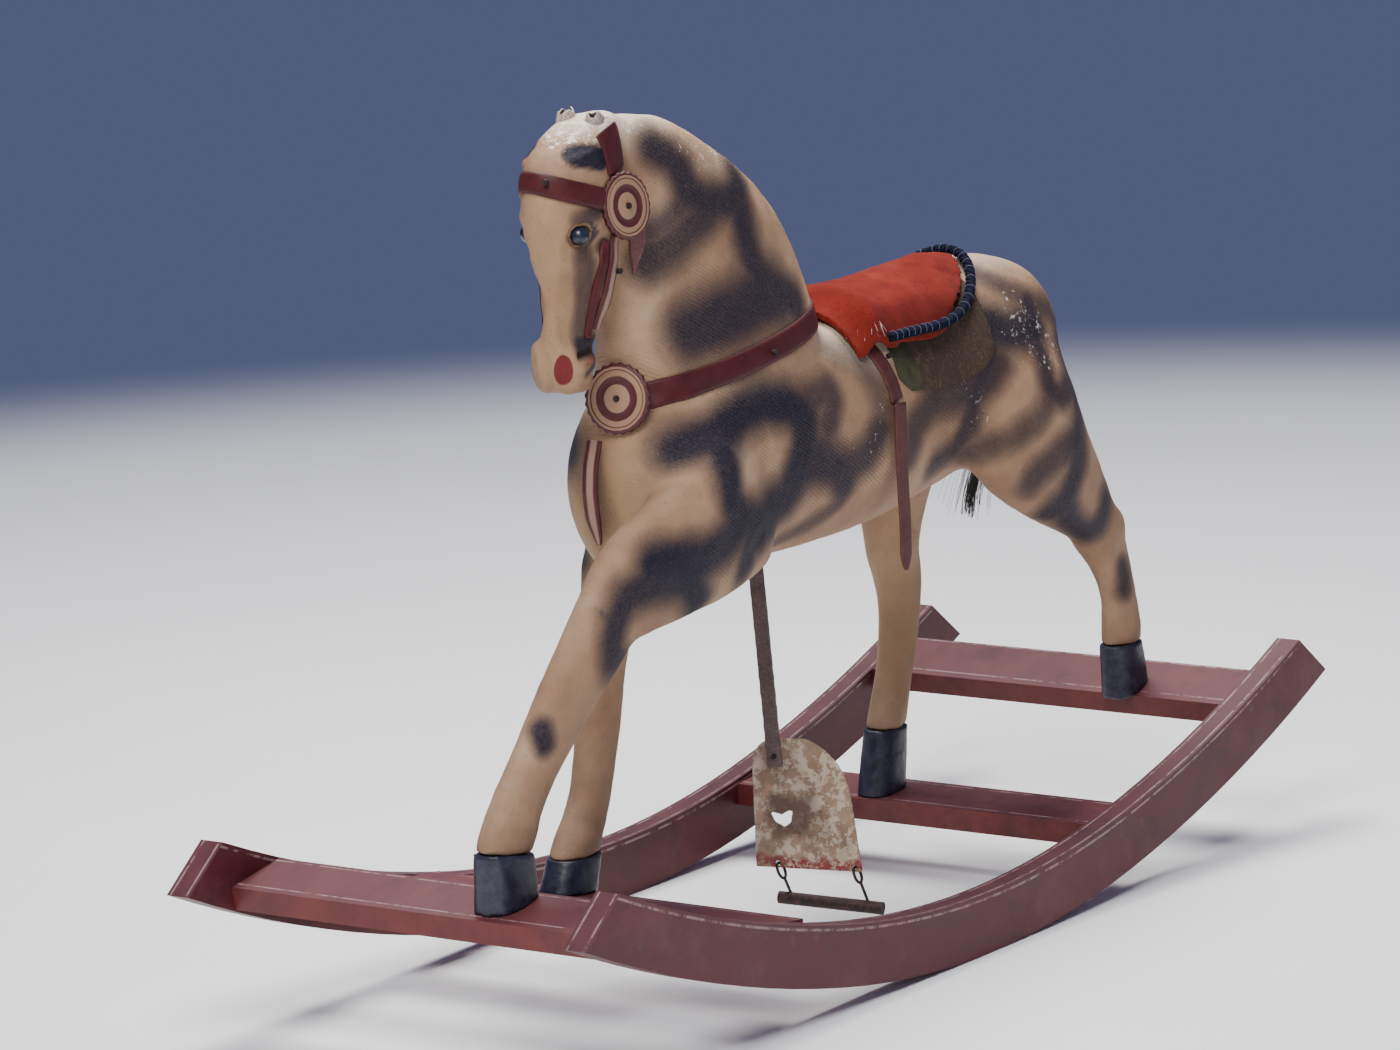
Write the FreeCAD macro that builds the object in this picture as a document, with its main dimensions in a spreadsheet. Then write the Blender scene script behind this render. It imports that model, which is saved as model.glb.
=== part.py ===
"""Carved wooden rocking horse on a pair of bowed rockers, built as separate pieces.

The horse faces -X and its left side is -Y. The origin is on the floor, under the middle
of the rockers. All lengths are in millimetres and all angles in degrees.
"""
import FreeCAD, Part
import math
import os

from FreeCAD import Placement, Rotation, Vector

doc = FreeCAD.newDocument("rocking_horse")

# ---------------------------------------------------------------- driving dimensions
DIMENSIONS = {
    "rocker_length": 1080,
    "rocker_top_length": 992,
    "rocker_thick": 22,
    "rocker_deep": 49,
    "overall_width": 400,
    "middle_radius": 1085,
    "middle_half_span": 213,
    "end_radius": 1535,
    "slat_wide": 59,
    "slat_thick": 19,
    "dowel_radius": 4,
    "dowel_length": 46,
    "horse_offset": -16,
    "trunk_half_width": 66,
    "trunk_half_height": 90,
    "neck_half_width": 56,
    "head_half_width": 28,
    "hoof_half_length": 27,
    "hoof_half_width": 20,
    "eye_radius": 7.5,
    "rosette_radius": 25,
    "breast_rosette_radius": 27,
    "nail_radius": 2.2,
    "strap_thick": 2.4,
    "collar_band": 20,
    "browband_wide": 17,
    "saddle_half_width": 62,
    "saddle_length": 214,
    "piping_radius": 4.5,
    "near_strap_wide": 16,
    "stirrup_strap_wide": 13,
    "stirrup_yaw": 13,
    "staple_radius": 1.3,
    "plate_wide": 92,
    "plate_tall": 108,
    "plate_thick": 3,
    "tread_length": 90,
    "tread_radius": 5.2,
    "link_radius": 1.2,
    "tail_plug_radius": 9,
    "screw_radius": 2.5,
    "screw_length": 40,
}

sheet = doc.addObject("Spreadsheet::Sheet", "Dims")
for row, (alias, number) in enumerate(DIMENSIONS.items(), start=1):
    sheet.set(f"A{row}", alias)
    sheet.set(f"B{row}", str(number))
    sheet.setAlias(f"B{row}", alias)
doc.recompute()


def size(alias):
    """A driving dimension, read from the sheet."""
    return float(sheet.get(alias))


OFFSET = size("horse_offset")
ROCKER_INSIDE = size("overall_width") / 2 - size("rocker_thick")
nodes = {}


def keep(name, feature):
    """Register a finished feature as the node of that name."""
    if name in nodes:
        nodes[name].Label = f"{name}_blank"
    feature.Label = name
    nodes[name] = feature
    return feature


def bind(feature, **expressions):
    """Tie properties of a feature to cells of the sheet."""
    for prop, expression in expressions.items():
        feature.setExpression(prop, expression)
    return feature


def solid(name, shape):
    """A Part::Feature that holds a shape worked out in this file."""
    feature = doc.addObject("Part::Feature", name)
    feature.Shape = shape
    feature.Placement = Placement(Vector(0, OFFSET, 0), Rotation())
    return feature


def cut(name, base, *tools):
    """Cut tools out of a base, one after the other."""
    for count, tool in enumerate(tools):
        feature = doc.addObject("Part::Cut", f"{name}_cut{count}")
        feature.Base = base
        feature.Tool = tool
        base = feature
    return base


# ---------------------------------------------------------------- rockers and slats
def arc_angle(radius, centre_x, x):
    """Angle from straight down to the point of an arc at x."""
    return math.asin((x - centre_x) / radius)


def rocker_profile():
    """Closed outline of a rocker in the XZ plane: two offset rows of three tangent arcs."""
    middle = size("middle_radius")
    end = size("end_radius")
    deep = size("rocker_deep")
    joint = arc_angle(middle, 0, size("middle_half_span"))
    centre_x = -(end - middle) * math.sin(joint)
    centre_z = middle + (end - middle) * math.cos(joint)

    def point(radius, x0, z0, angle):
        return Vector(x0 + radius * math.sin(angle), 0, z0 - radius * math.cos(angle))

    def row(inset, half_length):
        tip = arc_angle(end - inset, centre_x, half_length)
        joint_point = point(middle - inset, 0, middle, joint)
        low = point(middle - inset, 0, middle, 0)
        between = point(end - inset, centre_x, centre_z, (joint + tip) / 2)
        last = point(end - inset, centre_x, centre_z, tip)
        return joint_point, low, between, last

    def flip(p):
        return Vector(-p.x, 0, p.z)

    edges = []
    tips = []
    for inset, half_length in ((0, size("rocker_length") / 2), (deep, size("rocker_top_length") / 2)):
        joint_point, low, between, last = row(inset, half_length)
        edges.append(Part.Arc(flip(last), flip(between), flip(joint_point)).toShape())
        edges.append(Part.Arc(flip(joint_point), low, joint_point).toShape())
        edges.append(Part.Arc(joint_point, between, last).toShape())
        tips.append(last)
    edges.append(Part.LineSegment(tips[0], tips[1]).toShape())
    edges.append(Part.LineSegment(flip(tips[0]), flip(tips[1])).toShape())
    return Part.Wire(Part.__sortEdges__(edges))


profile = doc.addObject("Part::Feature", "rocker_outline")
profile.Shape = rocker_profile()
for side, name in ((-1, "rocker_left"), (1, "rocker_right")):
    plank = doc.addObject("Part::Extrusion", name)
    plank.Base = profile
    plank.DirMode = "Custom"
    plank.Dir = Vector(0, side, 0)
    plank.Solid = True
    bind(plank, LengthFwd="Dims.rocker_thick")
    plank.Placement = Placement(Vector(0, side * ROCKER_INSIDE, 0), Rotation())
    keep(name, plank)

# centre of the top face (x, z) and tilt of each slat; the tilt lifts the rear edge
SLATS = {
    "slat_front": (-460, 127.9, 10),
    "slat_mid_front": (-262, 81.5, -6),
    "slat_mid_rear": (214, 64.6, 5),
    "slat_rear": (425, 130.5, 18.5),
}


def slat_placement(name):
    """Placement of a slat's frame: its origin is the middle of the top face."""
    x, z, tilt = SLATS[name]
    return Placement(Vector(x, 0, z), Rotation(Vector(0, 1, 0), -tilt))


for name in SLATS:
    board = doc.addObject("Part::Box", name)
    bind(board, Length="Dims.slat_wide", Width="Dims.overall_width - 2 * Dims.rocker_thick",
         Height="Dims.slat_thick")
    board.Placement = slat_placement(name).multiply(
        Placement(Vector(-size("slat_wide") / 2, -ROCKER_INSIDE, -size("slat_thick")), Rotation()))
    keep(name, board)


# ---------------------------------------------------------------- carved horse
def ring(x, y, z, pitch, half_deep, half_wide, square=2.2, points=16):
    """Closed smooth section: a superellipse across Y and along the pitch direction."""
    along = Vector(math.cos(math.radians(pitch)), 0, math.sin(math.radians(pitch)))
    across = Vector(0, 1, 0)
    centre = Vector(x, y, z)
    spots = []
    for count in range(points):
        turn = 2 * math.pi * count / points
        c, s = math.cos(turn), math.sin(turn)
        deep = math.copysign(abs(c) ** (2 / square), c) * half_deep
        wide = math.copysign(abs(s) ** (2 / square), s) * half_wide
        spots.append(centre + along * deep + across * wide)
    curve = Part.BSplineCurve()
    curve.interpolate(spots, PeriodicFlag=True)
    return Part.Wire([curve.toShape()])


def carved(name, stations, square=2.2):
    """A block carved smoothly through its stations."""
    return solid(name, Part.makeLoft([ring(*station, square=square) for station in stations], True, False))


wide = size("trunk_half_width")
tall = size("trunk_half_height")
# x, y, z of the centre, pitch of the section, half depth, half width
TRUNK = [
    (-238, 0, 400, 90, 0.46 * tall, 0.42 * wide),
    (-228, 0, 402, 90, 0.74 * tall, 0.70 * wide),
    (-202, 0, 405, 90, 0.94 * tall, 0.88 * wide),
    (-150, 0, 410, 90, 1.00 * tall, 0.98 * wide),
    (-80, 0, 410, 90, 1.00 * tall, 1.00 * wide),
    (0, 0, 409, 90, 1.00 * tall, 1.00 * wide),
    (80, 0, 411, 90, 1.00 * tall, 0.98 * wide),
    (160, 0, 420, 90, 0.98 * tall, 0.98 * wide),
    (230, 0, 431, 90, 0.97 * tall, 1.00 * wide),
    (290, 0, 435, 90, 0.90 * tall, 0.94 * wide),
    (334, 0, 436, 90, 0.72 * tall, 0.78 * wide),
    (356, 0, 437, 90, 0.46 * tall, 0.50 * wide),
    (364, 0, 437, 90, 0.22 * tall, 0.24 * wide),
]
trunk_block = carved("trunk_block", TRUNK)

broad = size("neck_half_width")
NECK = [
    (-102, 0, 455, 6, 132, 1.04 * broad),
    (-103, 0, 500, 7, 123, 0.98 * broad),
    (-112, 0, 545, 7, 117, 0.84 * broad),
    (-127, 0, 590, 5, 106, 0.70 * broad),
    (-146, 0, 630, 0, 91, 0.60 * broad),
    (-163, 0, 660, -6, 71, 0.52 * broad),
    (-180, 0, 680, -8, 50, 0.40 * broad),
    (-192, 0, 692, -8, 26, 0.24 * broad),
]
neck_block = carved("neck_block", NECK)

head = size("head_half_width")
HEAD = [
    (-246, 0, 698, 10, 24, 0.66 * head),
    (-258, 0, 682, 4, 42, 0.92 * head),
    (-267, 0, 652, -8, 50, 1.04 * head),
    (-272, 0, 618, -8, 46, 1.08 * head),
    (-274, 0, 582, -8, 38, 0.96 * head),
    (-281, 0, 548, -6, 29, 0.80 * head),
    (-289, 0, 522, -4, 24, 0.74 * head),
    (-290, 0, 503, -4, 22, 0.78 * head),
    (-287, 0, 489, -4, 15, 0.58 * head),
]
head_block = carved("head_block", HEAD)

UPPER_LEGS = {
    "leg_front_left": [
        (-112, -40, 394, -74, 74, 22),
        (-165, -52, 380, -70, 66, 28),
        (-225, -58, 360, -66, 54, 27),
        (-286, -60, 346, -58, 47, 22),
        (-328, -59, 326, -48, 34, 18),
    ],
    "leg_front_right": [
        (-140, 40, 400, 0, 56, 22),
        (-147, 50, 360, 0, 48, 27),
        (-160, 55, 320, 0, 36, 23),
        (-175, 56, 280, 0, 27, 18),
        (-186, 56, 250, 0, 24, 17),
    ],
    "leg_hind_left": [
        (262, -40, 440, 10, 72, 24),
        (254, -54, 396, 14, 80, 28),
        (280, -62, 348, 20, 66, 26),
        (328, -64, 306, 28, 42, 21),
        (357, -64, 280, 26, 29, 17),
    ],
    "leg_hind_right": [
        (256, 40, 430, 0, 70, 24),
        (252, 52, 385, 0, 68, 28),
        (246, 58, 340, 0, 54, 25),
        (240, 60, 298, 0, 38, 20),
        (238, 60, 262, 0, 30, 17),
    ],
}
LOWER_LEGS = {
    "leg_front_left": [
        (-350, -59, 306, -42, 31, 18),
        (-380, -57, 276, -38, 28, 17),
        (-407, -54, 245, -36, 25, 16),
        (-434, -51, 212, -30, 23, 16),
        (-452, -49, 184, -18, 25, 17),
        (-457, -48, 168, -8, 27, 18),
    ],
    "leg_front_right": [
        (-189, 56, 238, 0, 23, 17),
        (-194, 56, 205, 0, 22, 16),
        (-204, 55, 170, 0, 20, 15),
        (-214, 54, 145, 0, 20, 16),
        (-230, 53, 122, 0, 23, 17),
        (-238, 52, 108, 0, 25, 18),
    ],
    "leg_hind_left": [
        (384, -64, 242, 20, 22, 14),
        (395, -64, 216, 10, 19, 13),
        (401, -63, 190, 4, 20, 14),
        (402, -62, 166, 0, 22, 15),
    ],
    "leg_hind_right": [
        (245, 60, 220, 0, 24, 15),
        (242, 61, 188, 0, 21, 14),
        (232, 61, 155, 0, 20, 14),
        (219, 61, 118, 0, 22, 15),
    ],
}
# slat under each hoof and the sole's centre (x, y); the coronet is the last leg section
HOOVES = {
    "leg_front_left": ("slat_front", -456, -47, 1.0),
    "leg_front_right": ("slat_mid_front", -250, 51, 0.95),
    "leg_hind_left": ("slat_rear", 408, -61, 0.86),
    "leg_hind_right": ("slat_mid_rear", 209, 61, 0.86),
}


def slat_height(slat, x):
    """Height of a slat's top face at x."""
    centre_x, centre_z, tilt = SLATS[slat]
    return centre_z + (x - centre_x) * math.tan(math.radians(tilt))


def hoof(leg):
    """A hoof block: an oval at the coronet lofted down to a wider oval on the slat."""
    slat, x, y, scale = HOOVES[leg]
    sole = ring(x, y, slat_height(slat, x), SLATS[slat][2], scale * size("hoof_half_length"),
                scale * size("hoof_half_width"), square=2.6)
    top_x, top_y, top_z, pitch, deep, across = LOWER_LEGS[leg][-1]
    coronet = ring(top_x, top_y, top_z, pitch, deep + 0.5, across + 0.5)
    return solid(f"hoof_{leg[4:]}", Part.makeLoft([sole, coronet], True, True))


for leg, stations in UPPER_LEGS.items():
    upper = carved(f"{leg}_upper_block", stations)
    keep(f"{leg}_upper", cut(f"{leg}_upper", upper, trunk_block))
for leg, stations in LOWER_LEGS.items():
    knee = UPPER_LEGS[leg][-1]
    keep(f"{leg}_lower", carved(f"{leg}_lower_block", [knee] + stations))
    keep(f"hoof_{leg[4:]}", hoof(leg))


def inflated(name, stations, extra, square=2.2):
    """The block of the same stations, larger all round by extra."""
    grown = [(x, y, z, pitch, deep + extra, across + extra) for x, y, z, pitch, deep, across in stations]
    return carved(name, grown, square)


def block(name, length, width, height, placement):
    """A plain box tool in the horse's own frame, placed by its middle."""
    feature = doc.addObject("Part::Box", name)
    feature.Length, feature.Width, feature.Height = length, width, height
    centred = Placement(Vector(-length / 2, -width / 2, -height / 2), Rotation())
    feature.Placement = Placement(Vector(0, OFFSET, 0), Rotation()).multiply(placement).multiply(centred)
    return feature


def prism(name, outline, width, y=0):
    """A prism whose outline lies in the XZ plane, centred on y."""
    points = [Vector(x, y - width / 2, z) for x, z in outline]
    face = Part.Face(Part.makePolygon(points + points[:1]))
    return solid(name, face.extrude(Vector(0, width, 0)))


def common(name, first, second):
    """What two features share."""
    feature = doc.addObject("Part::Common", name)
    feature.Base = first
    feature.Tool = second
    return feature


def joined(name, *parts):
    """Several features fused into one."""
    feature = doc.addObject("Part::MultiFuse", name)
    feature.Shapes = list(parts)
    return feature


def pitched(x, y, z, pitch):
    """A placement whose X axis is raised by pitch towards +Z."""
    return Placement(Vector(x, y, z), Rotation(Vector(0, 1, 0), -pitch))


# ---------------------------------------------------------------- glass eyes, ear stumps
EYE = Vector(-294.5, 23.5, 612)
SOCKET_DEEP = 14

sockets = []
for side, name in ((-1, "eye_left"), (1, "eye_right")):
    middle = Vector(EYE.x, OFFSET + side * EYE.y, EYE.z)
    outward = Vector(-0.5, side * 0.866, 0)
    ball = doc.addObject("Part::Sphere", f"{name}_ball")
    bind(ball, Radius="Dims.eye_radius")
    ball.Placement = Placement(middle, Rotation())
    socket = doc.addObject("Part::Cylinder", f"{name}_socket")
    bind(socket, Radius="Dims.eye_radius")
    socket.Height = SOCKET_DEEP
    socket.Placement = Placement(middle - outward * size("eye_radius"), Rotation(Vector(0, 0, 1), outward))
    keep(name, ball)
    sockets.append(socket)

STUMP = (-254, 13, 697)
for side, name in ((-1, "ear_stump_left"), (1, "ear_stump_right")):
    stump = doc.addObject("Part::Cone", f"{name}_cone")
    stump.Radius1, stump.Radius2, stump.Height = 8, 5.5, 12
    stump.Placement = Placement(Vector(STUMP[0], OFFSET + side * STUMP[1], STUMP[2] - 5),
                                Rotation(Vector(1, 0, 0), -side * 14))
    keep(name, cut(name, stump, head_block, neck_block))

keep("trunk", trunk_block)
keep("neck", cut("neck", neck_block, trunk_block))
keep("head", cut("head", head_block, neck_block, *sockets))

# ---------------------------------------------------------------- bridle
strap = size("strap_thick")
head_skin = inflated("head_skin", HEAD, strap)
neck_skin = inflated("neck_skin", NECK, strap)
trunk_skin = inflated("trunk_skin", TRUNK, strap)

band = common("browband_band", head_skin,
              block("browband_slab", 62, 90, size("browband_wide"), pitched(-296, 0, 656, 8)))
keep("browband", cut("browband", band, head_block, neck_skin))

CHEEK_WIDE = 22
for side, name in ((-1, "cheek_strap_left"), (1, "cheek_strap_right")):
    strip = common(f"{name}_strip", head_skin,
                   block(f"{name}_slab", 92, 40, CHEEK_WIDE, pitched(-264, side * 24, 566, 70)))
    keep(name, cut(name, strip, head_block, neck_skin))

throat = common("throat_strap_patch", neck_skin,
                prism("throat_strap_outline", [(-236, 626), (-214, 606), (-226, 570)], 50, y=-30))
keep("throat_strap", cut("throat_strap", throat, neck_block, head_skin))
crown = common("crownpiece_patch", head_skin,
               prism("crownpiece_outline", [(-264, 690), (-238, 692), (-236, 664), (-260, 668)], 50, y=-26))
keep("crownpiece", cut("crownpiece", crown, head_block, neck_skin))


def disc(name, radius_cell, thick, centre, direction):
    """A round disc lying on its back face, facing along direction."""
    feature = doc.addObject("Part::Cylinder", name)
    bind(feature, Radius=radius_cell)
    feature.Height = thick
    feature.Placement = Placement(Vector(centre[0], centre[1] + OFFSET, centre[2]),
                                  Rotation(Vector(0, 0, 1), Vector(*direction)))
    return feature


ROSETTE_THICK = 4
NAIL_TALL = 2
ROSETTES = {
    "bridle_rosette_left": ((-247, -32.5, 629), (-0.10, -1, 0.12), "Dims.rosette_radius"),
    "bridle_rosette_right": ((-247, 32.5, 629), (-0.10, 1, 0.12), "Dims.rosette_radius"),
    "breast_rosette": ((-234, -9, 476), (-1, -0.18, 0.16), "Dims.breast_rosette_radius"),
}
for name, (centre, direction, cell) in ROSETTES.items():
    plate = disc(f"{name}_disc", cell, ROSETTE_THICK, centre, direction)
    keep(name, cut(name, plate, head_skin, neck_skin, trunk_skin))
    unit = Vector(*direction).normalize()
    front = Vector(*centre) + unit * ROSETTE_THICK
    nail = disc(f"{name}_nail", "Dims.nail_radius", NAIL_TALL, front, direction)
    keep(f"{name}_nail", nail)

# ---------------------------------------------------------------- breast collar and its tongue
COLLAR_PITCH = 8
collar_halves = []
for side, word in ((-1, "near"), (1, "far")):
    half_slab = block(f"collar_slab_{word}", 330, 100, size("collar_band"),
                      pitched(-102, side * 50, 494, COLLAR_PITCH))
    half = cut(f"collar_{word}", common(f"collar_band_{word}", neck_skin, half_slab), neck_block, trunk_block,
               doc.getObject("breast_rosette_disc"))
    collar_halves.append(half)
keep("breast_collar", joined("breast_collar", *collar_halves))

# the tongue bows forward from the collar and comes back to the chest at its tip
TONGUE_WIDE = 14
TONGUE_PATH = [Vector(-245, 0, 445), Vector(-256, 0, 404), Vector(-244, 0, 362)]


def bowed_strip(path, thick, across, y):
    """A strip of even thickness bowed along an arc through three points."""
    centre = Part.Circle(*path).Center
    inner = [p + (centre - p).normalize() * thick for p in path]
    curves = [Part.Arc(*path), Part.Arc(*inner)]
    curves += [Part.LineSegment(path[0], inner[0]), Part.LineSegment(path[2], inner[2])]
    wire = Part.Wire(Part.__sortEdges__([curve.toShape() for curve in curves]))
    shape = Part.Face(wire).extrude(Vector(0, across, 0))
    shape.translate(Vector(0, y - across / 2, 0))
    return shape


keep("breast_tongue", solid("breast_tongue", bowed_strip(TONGUE_PATH, strap, TONGUE_WIDE, -9)))

# ---------------------------------------------------------------- saddle, cloth and near strap
half_wide = size("saddle_half_width")
SADDLE_FRONT = 27
SADDLE_REAR = SADDLE_FRONT + size("saddle_length")
SADDLE_SLACK = 14
# x, then crown and drop at the saddle's half width, of its top face and of its underside
SADDLE = [
    (15, 526, 28, 508, 30),
    (60, 521, 26, 505, 30),
    (110, 519, 24, 508, 30),
    (160, 521, 28, 513, 34),
    (206, 525, 38, 519.5, 36),
    (255, 529, 38, 524, 36),
]


def arched(x, crown, drop, across):
    """Points of a shallow arch over the back at x."""
    spots = [across * step / 4 for step in range(-4, 5)]
    return [Vector(x, y, crown - drop * (y / half_wide) ** 2) for y in spots]


def between(upper, lower):
    """Closed wire round the space between two rows of points."""
    curves = []
    for row in (upper, lower):
        curve = Part.BSplineCurve()
        curve.interpolate(row)
        curves.append(curve.toShape())
    curves.append(Part.LineSegment(upper[0], lower[0]).toShape())
    curves.append(Part.LineSegment(upper[-1], lower[-1]).toShape())
    return Part.Wire(Part.__sortEdges__(curves))


def saddle_slab(name, extra=0):
    """A slab arched over the back, its top face raised by extra."""
    across = half_wide + SADDLE_SLACK
    wires = [between(arched(x, crown + extra, drop, across), arched(x, under, under_drop, across))
             for x, crown, drop, under, under_drop in SADDLE]
    return solid(name, Part.makeLoft(wires, True, False))


def saddle_outline(name, margin):
    """Plan of the saddle as a tall prism: straight at the front, half an ellipse at the rear."""
    reach = 120 + margin
    across = half_wide + margin
    start = SADDLE_REAR + margin - reach
    turns = [math.radians(angle) for angle in range(-90, 91, 15)]
    bow = Part.BSplineCurve()
    bow.interpolate([Vector(start + reach * math.cos(a), across * math.sin(a), 0) for a in turns])
    front = [Vector(start, across, 0), Vector(SADDLE_FRONT, across - 4, 0),
             Vector(SADDLE_FRONT, 4 - across, 0), Vector(start, -across, 0)]
    edges = [bow.toShape()] + [Part.LineSegment(a, b).toShape() for a, b in zip(front, front[1:])]
    face = Part.Face(Part.Wire(Part.__sortEdges__(edges)))
    face.translate(Vector(0, 0, 460))
    return solid(name, face.extrude(Vector(0, 0, 90)))


plan = saddle_outline("saddle_plan", 0)
keep("saddle", common("saddle", saddle_slab("saddle_arch"), plan))
PIPING_FRONT = 60
rope = cut("piping_plan", saddle_outline("piping_rim", 2 * size("piping_radius")), plan,
           block("piping_gap", 100, 200, 160, pitched(PIPING_FRONT - 50, 0, 500, 0)))
keep("saddle_piping", common("saddle_piping", saddle_slab("piping_arch", 1), rope))

CLOTH_GAP = 0.7
CLOTH_THICK = 1.6
# x, centre height, half height and half width of the back, height of the cloth's lower edge
CLOTH = [
    (76, 411, 90, 65, 446),
    (92, 412, 90, 64.8, 434),
    (120, 415, 89.5, 64.7, 431),
    (160, 420, 88.2, 64.7, 430),
    (190, 425, 87.8, 65.2, 434),
    (214, 428.5, 87.5, 65.7, 444),
]


def draped(x, centre, tall_half, wide_half, low, out):
    """Points over the back at x, out from its surface, down to the height low on both sides."""
    rise = (low - centre) / (tall_half + out)
    start = math.asin(math.copysign(abs(rise) ** 1.1, rise))
    spots = []
    for step in range(13):
        turn = start + (math.pi - 2 * start) * step / 12
        c, s = math.cos(turn), math.sin(turn)
        y = math.copysign(abs(c) ** (1 / 1.1), c) * (wide_half + out)
        z = centre + math.copysign(abs(s) ** (1 / 1.1), s) * (tall_half + out)
        spots.append(Vector(x, y, z))
    return spots


cloth_wires = [between(draped(*row, CLOTH_GAP + CLOTH_THICK), draped(*row, CLOTH_GAP)) for row in CLOTH]
keep("saddle_cloth", solid("saddle_cloth", Part.makeLoft(cloth_wires, True, False)))

NEAR_STRAP_X = 65
near_wide = size("near_strap_wide")
STRAP_SPLIT = 430
girth = common("near_strap_band", trunk_skin,
               block("near_strap_slab", near_wide, 60, 62, pitched(NEAR_STRAP_X, -56, STRAP_SPLIT + 31, 0)))
keep("near_strap_upper", cut("near_strap_upper", girth, trunk_block))
NEAR_STRAP_DROP = 138
hanging = doc.addObject("Part::Box", "near_strap_end")
bind(hanging, Length="Dims.near_strap_wide", Width="Dims.strap_thick")
hanging.Height = NEAR_STRAP_DROP
hanging.Placement = Placement(
    Vector(NEAR_STRAP_X - near_wide / 2, OFFSET - 71.5, STRAP_SPLIT - 0.5 - NEAR_STRAP_DROP), Rotation())
keep("near_strap_end", hanging)

# ---------------------------------------------------------------- the stirrup that is left
# It hangs from a staple under the belly. Its own frame has its origin on the staple's bar,
# X through the plate from front to rear and Y along the bar.
STAPLE = Vector(-44, 1.7, 313)
hanger = Placement(Vector(STAPLE.x, STAPLE.y + OFFSET, STAPLE.z),
                   Rotation(Vector(0, 0, 1), size("stirrup_yaw")))
wire_radius = size("staple_radius")
STAPLE_WIDE = 19
STAPLE_REACH = 16
LOOP_GAP = 0.5


def in_hanger(name, shape):
    """A Part::Feature placed in the stirrup's frame."""
    feature = doc.addObject("Part::Feature", name)
    feature.Shape = shape
    feature.Placement = hanger
    return feature


def rod(name, start, end, radius_cell):
    """A round rod between two points of the stirrup's frame."""
    feature = doc.addObject("Part::Cylinder", name)
    bind(feature, Radius=radius_cell)
    run = end - start
    feature.Height = run.Length
    feature.Placement = hanger.multiply(Placement(start, Rotation(Vector(0, 0, 1), run)))
    return feature


STAPLE_BEND = 3


def bent_wire(half_span, reach, bend, radius):
    """A round wire in the YZ plane: a bar along Y with both ends bent up."""
    low = half_span - bend
    mid = bend * (1 - math.sqrt(0.5))
    left = [Vector(0, -half_span, reach), Vector(0, -half_span, bend), Vector(0, mid - half_span, mid),
            Vector(0, -low, 0)]
    right = [Vector(0, -p.y, p.z) for p in left]
    curves = [Part.LineSegment(left[0], left[1]), Part.Arc(*left[1:]), Part.LineSegment(left[3], right[3]),
              Part.Arc(right[3], right[2], right[1]), Part.LineSegment(right[1], right[0])]
    path = Part.Wire([curve.toShape() for curve in curves])
    section = Part.Wire([Part.makeCircle(radius, left[0], Vector(0, 0, 1))])
    return path.makePipeShell([section], True, False)


staple_wire = in_hanger("staple_wire", bent_wire(STAPLE_WIDE / 2, STAPLE_REACH, STAPLE_BEND, wire_radius))
keep("stirrup_staple", cut("stirrup_staple", staple_wire, trunk_block))

inner_loop = wire_radius + LOOP_GAP
outer_loop = inner_loop + strap
strap_wide = size("stirrup_strap_wide")
STRAP_DROP = 169
STRAP_LEAN = 3.4
leaning = hanger.multiply(Placement(Vector(), Rotation(Vector(1, 0, 0), -STRAP_LEAN)))


def along_bar(name, radius):
    """A cylinder as long as the strap is wide, round the staple's bar."""
    feature = doc.addObject("Part::Cylinder", name)
    feature.Radius, feature.Height = radius, strap_wide
    feature.Placement = hanger.multiply(Placement(Vector(0, strap_wide / 2, 0), Rotation(Vector(1, 0, 0), 90)))
    return feature


tongue = doc.addObject("Part::Box", "stirrup_strap_run")
bind(tongue, Length="Dims.strap_thick", Width="Dims.stirrup_strap_wide")
tongue.Height = STRAP_DROP
tongue.Placement = leaning.multiply(
    Placement(Vector(-outer_loop, -strap_wide / 2, -STRAP_DROP), Rotation()))
strap_whole = joined("stirrup_strap_whole", tongue, along_bar("strap_loop_outer", outer_loop))
keep("stirrup_strap", cut("stirrup_strap", strap_whole, along_bar("strap_loop_inner", inner_loop)))

# the plate: a worn board, square below and rounded above, lower on its near side
half_plate = size("plate_wide") / 2
plate_tall = size("plate_tall")
plate_thick = size("plate_thick")
PLATE_MIDDLE = -35
PLATE_BOTTOM = -252.8
SHOULDER_FAR = 84
SHOULDER_NEAR = 60


def plate_shape():
    """The plate's outline in its own YZ plane, extruded through its thickness."""
    def spot(y, z):
        return Vector(-inner_loop + 0.05, PLATE_MIDDLE + y, PLATE_BOTTOM + z)
    corner_far = spot(half_plate, SHOULDER_FAR)
    crown_far = spot(half_plate * 0.56, plate_tall - 1)
    crown_near = spot(0, plate_tall)
    corner_near = spot(-half_plate * 0.84, SHOULDER_NEAR)
    curves = [
        Part.LineSegment(spot(-half_plate, 0), spot(half_plate, 0)),
        Part.LineSegment(spot(half_plate, 0), corner_far),
        Part.Arc(corner_far, spot(half_plate * 0.88, plate_tall - 8), crown_far),
        Part.LineSegment(crown_far, crown_near),
        Part.Arc(crown_near, spot(-half_plate * 0.54, plate_tall - 16), corner_near),
        Part.LineSegment(corner_near, spot(-half_plate, 0)),
    ]
    wire = Part.Wire(Part.__sortEdges__([curve.toShape() for curve in curves]))
    shape = Part.Face(wire).extrude(Vector(plate_thick, 0, 0))
    worn = [spot(y, z) - Vector(5, 0, 0) for y, z in ((33, 47), (22, 44), (12, 50), (14, 38), (20, 34), (28, 38))]
    hole = Part.Face(Part.makePolygon(worn + worn[:1])).extrude(Vector(plate_thick + 10, 0, 0))
    return shape.cut(hole)


plate_block = in_hanger("plate_block", plate_shape())
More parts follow.
